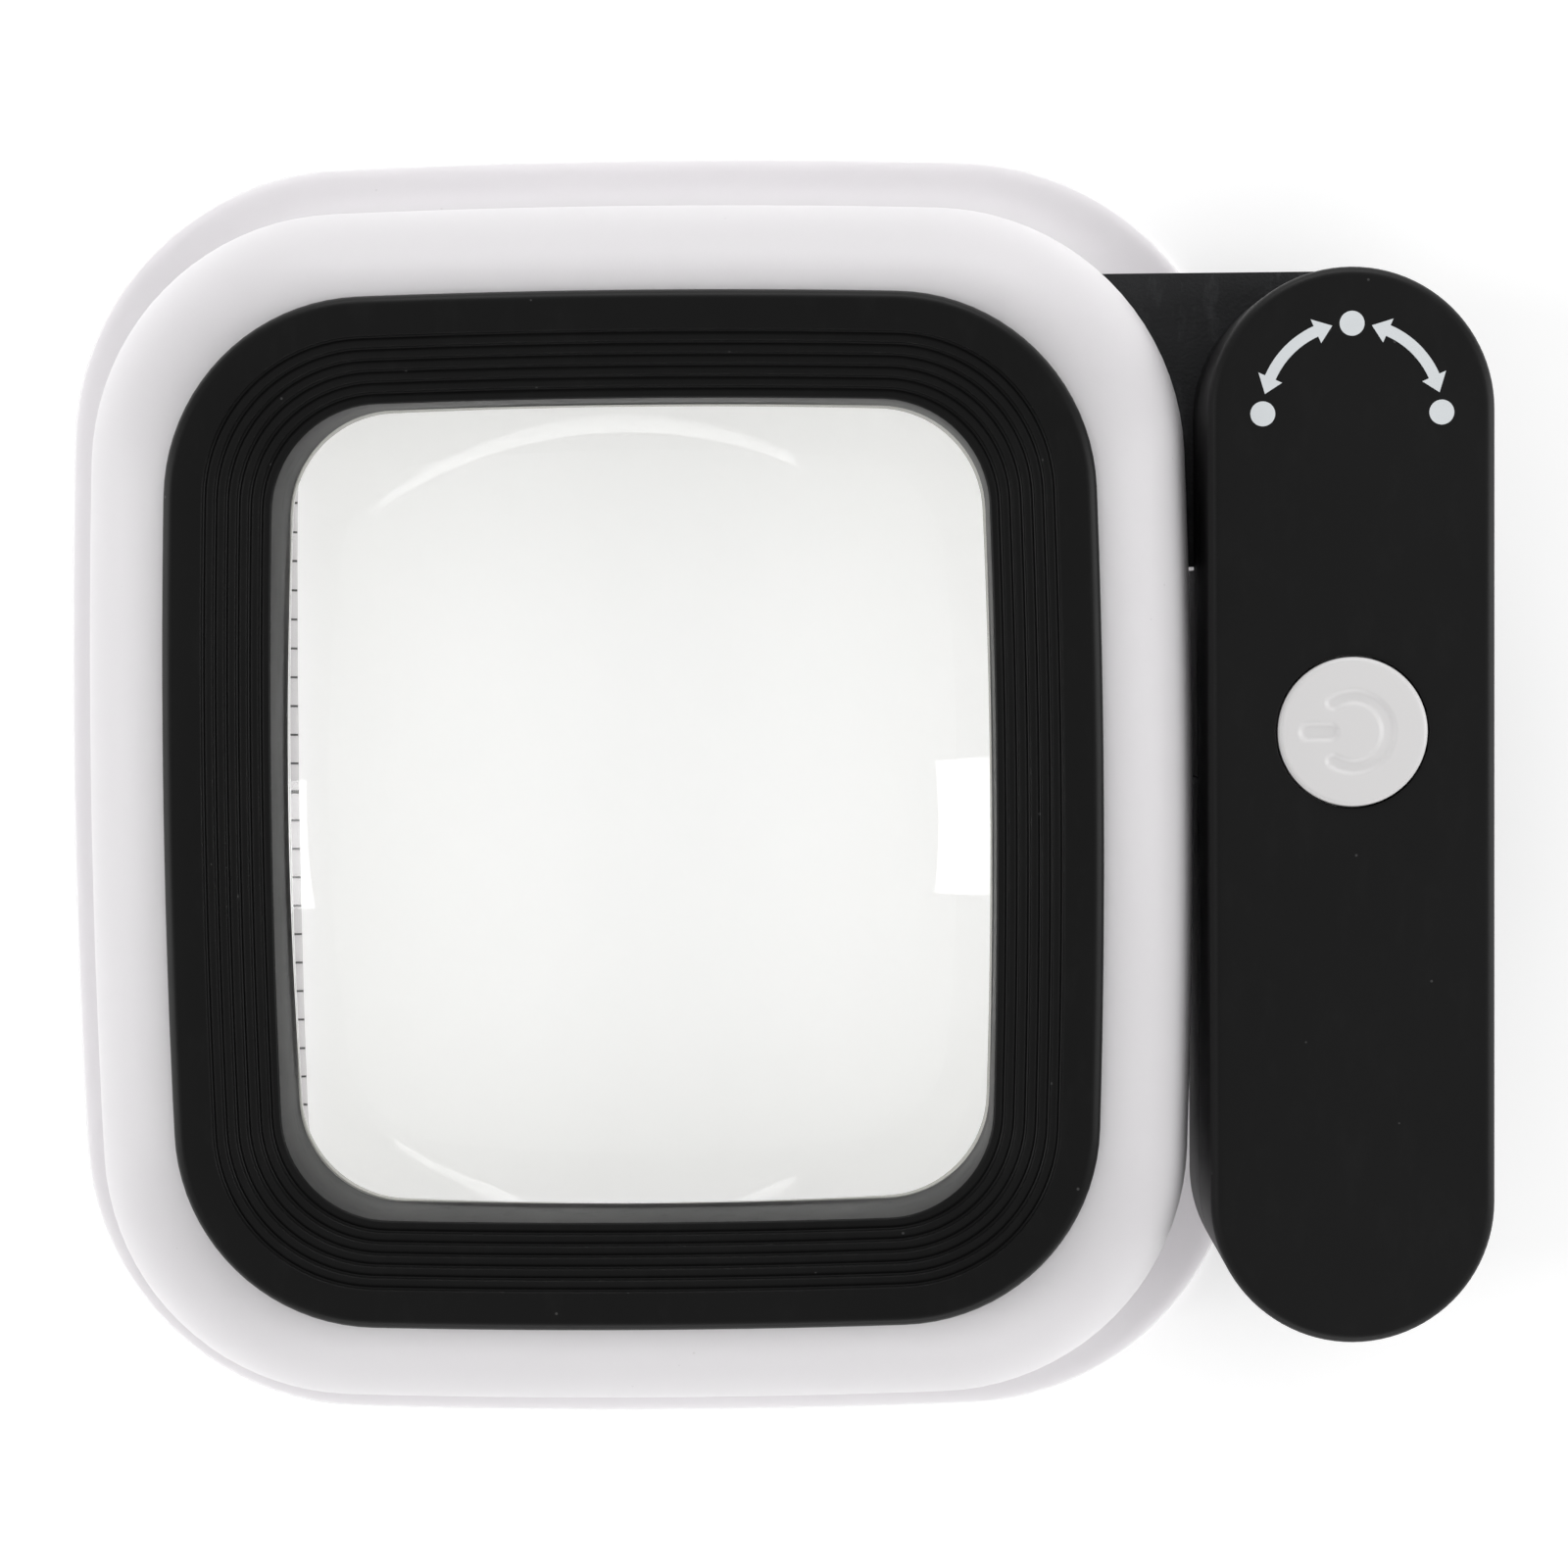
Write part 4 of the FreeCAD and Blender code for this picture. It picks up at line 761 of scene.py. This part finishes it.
@dataclass
class Stand(Assembly):
    """Milky stand with a flared foot, an upright wall and a dome up to the bezel. Millimetres."""

    base: tuple[float, float, float] = (125.96, 134.48, 30.0)
    bezel: tuple[float, float, float] = (89.9, 99.5, 19.4)
    foot_z: float = 0.3
    foot_top: float = 1.2
    foot_round: float = 0.3
    flare: float = 8.1
    draft: float = 0.3
    wall_top: float = 31.0
    dome_top: float = 42.8
    dome_arc: float = 75.0
    wall: float = 2.0
    flange: float = 6.8
    flange_top: float = 2.6
    mouth_inset: float = 2.6
    inner_lead: float = 0.2
    inner_rise: float = 1.0

    def outline(self, inset: float) -> RoundedFrame:
        """Stand's outline, inset from its foot.

        Args:
            inset: Distance in from the foot, at the side.

        Returns:
            The outline.
        """
        t = inset / self.side_step
        return RoundedFrame(*(mix(a, b, t) for a, b in zip(self.base, self.bezel)))

    @property
    def side_step(self) -> float:
        """From the foot's edge in to the bezel's edge, at the side."""
        return (self.base[0] - self.bezel[0]) / 2

    def outer_profile(self) -> list[tuple[float, float]]:
        """Inset and height of the outside, from the foot's lower edge up.

        Returns:
            Pairs in millimetres.
        """
        r = self.foot_round
        points = [(r, self.foot_z), (r * 0.3, self.foot_z + r * 0.3), (0.0, self.foot_z + r)]
        points += [(r * inward, self.foot_top - r * drop) for inward, drop in quarter_turn(4, 0)]
        lead = math.degrees(math.asin(r / self.flare))
        for i in range(1, 17):
            angle = math.radians(mix(lead, 90.0, i / 16))
            points.append((self.flare * math.sin(angle), self.foot_top + self.flare * (1 - math.cos(angle))))
        for t in (0.2, 0.5, 0.8, 1.0):
            points.append((self.flare + self.draft * t, mix(self.foot_top + self.flare, self.wall_top, t)))
        for i in range(1, 19):
            points.append(self.dome_point(self.dome_arc * i / 18, 0.0))
        points.append((self.side_step + self.mouth_inset, self.dome_top))
        return points

    def dome_point(self, degrees: float, depth: float) -> tuple[float, float]:
        """Point of the dome's quarter ellipse.

        Args:
            degrees: Angle from the upright wall.
            depth: How far under the outside.

        Returns:
            Inset and height in millimetres.
        """
        start = self.flare + self.draft
        arc = math.radians(self.dome_arc)
        across = (self.side_step - start) / (1 - math.cos(arc)) - depth
        up = (self.dome_top - self.wall_top) / math.sin(arc) - depth
        angle = math.radians(degrees)
        return start + depth + across * (1 - math.cos(angle)), self.wall_top + up * math.sin(angle)

    def inner_profile(self) -> list[tuple[float, float]]:
        """Inset and height of the inside, from the bezel's mouth down to the foot's flange."""
        points = [(self.side_step + self.mouth_inset, self.dome_top - self.wall)]
        points += [self.dome_point(self.dome_arc * (1 - i / 8), self.wall) for i in range(9)]
        points.append((self.flare + self.wall + self.inner_lead,
                       self.foot_top + self.flare + self.inner_rise))
        points += [(self.flange, self.flange_top), (self.flange, self.foot_z)]
        return points

    def build(self, finishing: Finishing) -> None:
        """Builds the shell.

        Args:
            finishing: The finishes.
        """
        profile = self.outer_profile() + self.inner_profile()
        skin = Skin(self.outline(profile[0][0]), profile[0][1])
        for inset, z in profile[1:]:
            skin.to(self.outline(inset).point, z)
        self.hand_over(skin.close(Ends.RING), "milky_stand_shell", "milky_shell", "outer_shell", finishing)


@dataclass
class LensFrame(Assembly):
    """Black bezel with stepped grooves down to the window, and the lens in it. Millimetres."""

    window: tuple[float, float, float] = (69.5, 79.1, 10.5)
    band: float = 10.2
    rim: float = 3.95
    rim_corner: float = 15.45
    bottom: float = 42.8
    top: float = 46.3
    fillet: float = 1.1
    grooves: int = 6
    step: float = 0.35
    groove_half: float = 0.17
    groove_sink: float = 0.34
    lip_round: float = 0.25
    skirt_bottom: float = 32.4
    skirt_wall: float = 1.5
    skirt_lead: float = 4.0
    shelf: float = 1.0
    lens_gap: float = 0.3
    lens_flange: float = 3.0
    lens_radius: float = 160.0
    lens_apex: float = 39.27
    lens_nadir: float = 22.53
    flange_top: float = 31.9
    flange_bottom: float = 29.9

    def outline(self, grow: float) -> RoundedFrame:
        """Window's outline grown outwards.

        Args:
            grow: Distance out from the window.

        Returns:
            The outline.
        """
        plain = self.band - self.rim
        if grow >= plain:
            corner = self.rim_corner + grow - plain
        else:
            corner = mix(self.window[2], self.rim_corner, grow / plain)
        return RoundedFrame(self.window[0] + 2 * grow, self.window[1] + 2 * grow, corner)

    def profile(self) -> list[tuple[float, float]]:
        """Growth and height of the bezel's section, from its lower outer edge to the window's skirt.

        Returns:
            Pairs in millimetres.
        """
        points = [(self.band, self.bottom), (self.band, self.top - self.fillet)]
        points += [(self.band - self.fillet * inward, self.top - self.fillet * drop)
                   for inward, drop in quarter_turn(8)]
        plain = self.band - self.rim
        half = self.groove_half
        z = self.top
        for i in range(self.grooves):
            edge = mix(plain, 0.0, i / self.grooves)
            lower = z - self.step
            floor = z - self.groove_sink
            points += [(edge + half * 2, z), (edge + half, z - 0.04), (edge + half * 0.4, z - 0.16),
                       (edge + half * 0.1, floor - 0.1), (edge - half * 0.5, floor - 0.16),
                       (edge - half * 1.1, lower - 0.1), (edge - half * 1.8, lower - 0.02),
                       (edge - half * 2.6, lower)]
            z = lower
        points += [(self.lip_round * drop, z - self.lip_round * inward)
                   for inward, drop in quarter_turn(4, 0)]
        points += [(0.0, self.skirt_bottom + self.skirt_lead), (0.0, self.skirt_bottom),
                   (self.skirt_wall, self.skirt_bottom), (self.skirt_wall, self.bottom - self.shelf)]
        return points

    def lens_height(self, side: int) -> Callable[[float, float], float]:
        """Height of a lens face over a place.

        Args:
            side: 1 for the upper face, -1 for the lower.

        Returns:
            A function of x and y in millimetres.
        """
        apex = self.lens_apex if side > 0 else self.lens_nadir

        def height(x: float, y: float) -> float:
            """Height of the spherical face at x, y."""
            return apex - side * (self.lens_radius - math.sqrt(self.lens_radius ** 2 - x * x - y * y))
        return height

    def build_lens(self, finishing: Finishing) -> None:
        """Builds the lens: two domed faces and the flange that the frame clamps.

        Args:
            finishing: The finishes.
        """
        edge = self.outline(-self.lens_gap)
        flange = self.outline(self.lens_flange)
        shares = [0.02, 0.08] + [i / 24 for i in range(4, 25)]
        low, high = self.lens_height(-1), self.lens_height(1)
        skin = Skin(edge, low)
        skin.set_ring(list(skin.mesh.verts), scaled(edge, shares[0]), low)
        for share in shares[1:]:
            skin.to(scaled(edge, share), low)
        skin.to(edge.point, self.flange_bottom).to(flange.point, self.flange_bottom)
        skin.to(flange.point, self.flange_top).to(edge.point, self.flange_top)
        for share in reversed(shares):
            skin.to(scaled(edge, share), high)
        lens = self.hand_over(skin.close(Ends.CAPPED), "reading_lens", "lens_clear", "lens", finishing)
        lens.visible_shadow = False

    def build(self, finishing: Finishing) -> None:
        """Builds the bezel and the lens.

        Args:
            finishing: The finishes.
        """
        profile = self.profile()
        skin = Skin(self.outline(profile[0][0]), profile[0][1])
        for grow, z in profile[1:]:
            skin.to(self.outline(grow).point, z)
        self.hand_over(skin.close(Ends.RING), "ribbed_lens_frame", "black_frame", "bezel", finishing)
        self.build_lens(finishing)


@dataclass
class Handle(Assembly):
    """Upper half of the battery handle, with the hole for its push button. Millimetres."""

    body: ClassVar[str] = "handle"
    radius: float = 13.85
    pivot: tuple[float, float] = (69.55, 38.05)
    span: float = 77.15
    bottom: float = 25.5
    top: float = 38.0
    fillet: float = 1.0
    wall: float = 1.9
    button_y: float = 6.95
    hole: float = 7.45
    hole_round: float = 0.15
    edge: float = 0.1
    margin: float = 0.3

    def pill(self, inset: float) -> Pill:
        """Handle's outline drawn in by an inset."""
        return Pill(self.radius - inset, self.pivot[0], self.pivot[1], self.span)

    def ring(self, radius: float) -> Circle:
        """Circle round the button that faces the handle's outline."""
        return Circle(radius, self.pivot[0], self.button_y, facing=self.pill(0.0))

    def build(self, finishing: Finishing) -> None:
        """Builds the top shell.

        Args:
            finishing: The finishes.
        """
        skin = Skin(self.pill(self.edge), self.bottom)
        skin.to(self.pill(0.0).point, self.bottom + self.edge)
        for t in (0.3, 0.6, 1.0):
            skin.to(self.pill(0.0).point, mix(self.bottom, self.top - self.fillet, t))
        for inward, drop in quarter_turn(8):
            skin.to(self.pill(self.fillet * inward).point, self.top - self.fillet * drop)
        skin.to(self.pill(self.fillet + self.margin).point, self.top)
        skin.to(self.ring(self.hole + self.hole_round + self.margin).point, self.top)
        for inward, drop in quarter_turn(4, 0):
            skin.to(self.ring(self.hole + self.hole_round * drop).point, self.top - self.hole_round * inward)
        roof = self.top - self.wall
        skin.to(self.ring(self.hole).point, roof)
        skin.to(self.pill(self.wall).point, roof)
        skin.to(self.pill(self.wall).point, self.bottom)
        self.hand_over(skin.close(Ends.RING), "handle_upper_half", "black_handle", "handle_top_shell",
                       finishing)


@dataclass
class PushButton(Assembly):
    """Domeless round push button with a shallow sunk power sign, its bar towards the stand. Millimetres."""

    body: ClassVar[str] = "button"
    centre: tuple[float, float] = (69.55, 6.95)
    radius: float = 7.25
    flange: float = 8.3
    bottom: float = 34.9
    top: float = 38.4
    fillet: float = 0.5
    plate: float = 1.6
    bore: float = 6.0
    stem: float = 2.2
    stem_bottom: float = 35.1
    sink: float = 0.25
    ring_radius: float = 3.4
    ring_half: float = 0.62
    gap_deg: float = 56.0
    bar: tuple[float, float] = (2.3, 4.3)
    bar_half: float = 0.8
    softness: float = 0.32
    flange_height: float = 1.0
    pole: float = 0.2
    steps: int = 192
    face_rings: int = 62

    def sign_distance(self, x: float, y: float) -> float:
        """How far a place lies outside the sunk sign.

        Args:
            x: From the button's centre, millimetres.
            y: From the button's centre, millimetres.

        Returns:
            Distance in millimetres, less than 0 inside the sign.
        """
        near, far = self.bar
        along = min(max(-x, near), far)
        bar = math.hypot(-x - along, y) - self.bar_half
        angle = math.degrees(math.atan2(y, -x))
        ring = abs(math.hypot(x, y) - self.ring_radius) - self.ring_half
        if abs(angle) < self.gap_deg:
            end = math.radians(180.0 - math.copysign(self.gap_deg, angle))
            end_x, end_y = self.ring_radius * math.cos(end), self.ring_radius * math.sin(end)
            ring = math.hypot(x - end_x, y - end_y) - self.ring_half
        return min(bar, ring)

    def face(self, x: float, y: float) -> float:
        """Height of the button's face with the sign sunk in it.

        Args:
            x: Place in millimetres.
            y: Place in millimetres.

        Returns:
            Height in millimetres.
        """
        away = self.sign_distance(x - self.centre[0], y - self.centre[1])
        return self.top - self.sink * (1.0 - smooth_step(-self.softness, self.softness, away))

    def build(self, finishing: Finishing) -> None:
        """Builds the button.

        Args:
            finishing: The finishes.
        """
        def circle(radius: float) -> Circle:
            """Circle about the button's centre."""
            return Circle(radius, *self.centre, steps=self.steps)

        under = self.top - self.plate
        flange_top = self.bottom + self.flange_height
        skin = Skin(circle(self.pole), self.stem_bottom)
        for radius, z in ((self.stem, self.stem_bottom), (self.stem, under), (self.bore, under),
                          (self.bore, self.bottom), (self.flange, self.bottom), (self.flange, flange_top),
                          (self.radius, flange_top), (self.radius, self.top - self.fillet)):
            skin.to(circle(radius).point, z)
        for inward, drop in quarter_turn(6):
            skin.to(circle(self.radius - self.fillet * inward).point, self.top - self.fillet * drop)
        for i in range(1, self.face_rings):
            skin.to(circle((self.radius - self.fillet) * (1 - i / self.face_rings)).point, self.face)
        self.hand_over(skin.close(Ends.CAPPED), "white_push_button", "white_button", "power_button",
                       finishing)


@dataclass
class ReturnSpring(Assembly):
    """Coil spring under the push button. Millimetres."""

    body: ClassVar[str] = "handle"
    seat: tuple[float, float, float] = (69.55, 6.95, 30.2)
    length: float = 4.7
    travel: float = 1.0

    def build(self, finishing: Finishing) -> None:
        """Copies the frame's spring.

        Args:
            finishing: The finishes.
        """
        node = finishing.frame["nodes"]["button_spring"]
        mesh = bmesh.new()
        mesh.from_mesh(node.data)
        mesh.transform(node.matrix_world)
        piece = finish_mesh(mesh, "button_return_spring")
        finishing.dress(piece, "spring_steel")
        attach(piece, self.body)
        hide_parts("button_spring")
        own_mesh(piece)
        LOG.info("piece %s stands for button_spring", piece.name)


# ---- studio -------------------------------------------------------------------------------------


@dataclass(frozen=True)
class SoftBox:
    """Large soft area light."""

    name: str
    place: tuple[float, float, float]
    aim: tuple[float, float, float]
    size: tuple[float, float]
    power: float
    seen: bool = True

    def build(self) -> bpy.types.Object:
        """Hangs the light.

        Returns:
            The light's object.
        """
        lamp = bpy.data.lights.new(self.name, "AREA")
        lamp.shape = "RECTANGLE"
        lamp.size, lamp.size_y = self.size
        lamp.energy = self.power
        light = bpy.data.objects.new(self.name, lamp)
        light.location = self.place
        towards = Vector(self.aim) - Vector(self.place)
        light.rotation_euler = towards.to_track_quat("-Z", "Y").to_euler()
        light.visible_camera = False
        if not self.seen:
            light.visible_transmission = False
            light.visible_glossy = False
        bpy.context.scene.collection.objects.link(light)
        LOG.info("light %s", self.name)
        return light


@dataclass
class Studio:
    """Pale floor, soft light and the camera over the page. Metres."""

    floor_half: float = 1.6
    floor_colour: Colour = (0.96, 0.96, 0.96)
    floor_glow: float = 0.27
    sky: float = 0.36
    camera_place: tuple[float, float, float] = (0.0214783, 0.019979, 0.3984242)
    camera_aim: tuple[float, float, float] = (0.0135835, 0.0004745, 0.0)
    camera_roll: float = 0.5316
    focal: float = 85.14
    sensor: float = 36.0
    lights: tuple[SoftBox, ...] = field(default_factory=lambda: (
        SoftBox("left_box", (-1.2, 0.0, 0.42), (0.0, 0.0, 0.0), (0.4, 1.4), 9.0),
        SoftBox("right_box", (1.2, 0.05, 0.45), (0.0, 0.0, 0.0), (0.4, 1.4), 8.6),
        SoftBox("rear_box", (0.1, 1.2, 0.45), (0.0, 0.0, 0.0), (1.4, 0.4), 8.0),
        SoftBox("front_box", (0.1, -1.2, 0.45), (0.0, 0.0, 0.0), (1.4, 0.4), 6.8),
        SoftBox("reading_light", (0.0, 0.0, 0.0215), (0.0, 0.0, 0.0), (0.060, 0.069), 0.0068, seen=False)))

    def build_floor(self) -> None:
        """Lays the floor, which is also the page."""
        mesh = bmesh.new()
        bmesh.ops.create_grid(mesh, x_segments=4, y_segments=4, size=self.floor_half)
        floor = finish_mesh(mesh, "pale_floor")
        recipe = Recipe("pale_floor_finish")
        fibre = recipe.noise(0.02, 4.0)
        shade = tuple(part * 0.985 for part in self.floor_colour)
        recipe.drive(Base_Color=recipe.blend(fibre, shade, self.floor_colour), Roughness=0.8 + fibre * 0.1,
                     Specular_IOR_Level=0.2, Emission_Color=WHITE, Emission_Strength=self.floor_glow)
        floor.data.materials.append(recipe.material)

    def build_camera(self) -> None:
        """Sets the camera over the object, turned a little about its own axis."""
        lens = bpy.data.cameras.new("over_the_page")
        lens.sensor_width = self.sensor
        lens.lens = self.focal
        lens.clip_start = 0.01
        camera = bpy.data.objects.new("over_the_page", lens)
        back = (Vector(self.camera_place) - Vector(self.camera_aim)).normalized()
        turn = math.radians(self.camera_roll)
        up = Vector((math.sin(turn), math.cos(turn), 0.0))
        right = up.cross(back).normalized()
        up = back.cross(right)
        turned = Matrix((right, up, back)).transposed().to_4x4()
        camera.matrix_world = Matrix.Translation(self.camera_place) @ turned
        bpy.context.scene.collection.objects.link(camera)
        bpy.context.scene.camera = camera

    def build(self) -> None:
        """Builds floor, sky, lights and camera."""
        self.build_floor()
        world = bpy.data.worlds.new("studio_sky")
        world.use_nodes = True
        sky = world.node_tree.nodes["Background"]
        sky.inputs[0].default_value = WHITE
        sky.inputs[1].default_value = self.sky
        bpy.context.scene.world = world
        for box in self.lights:
            box.build()
        self.build_camera()
        bpy.context.scene.view_settings.view_transform = "Standard"


def main() -> None:
    """Builds the sub-assemblies in order."""
    logging.basicConfig(level=logging.INFO, format="%(message)s")
    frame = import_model()
    finishing = Finishing(frame)
    finishing.dress_frame()
    for assembly in (Stand(), LensFrame(), Handle(), PushButton(), ReturnSpring()):
        assembly.build(finishing)
    Studio().build()


if __name__ == "__main__":
    main()
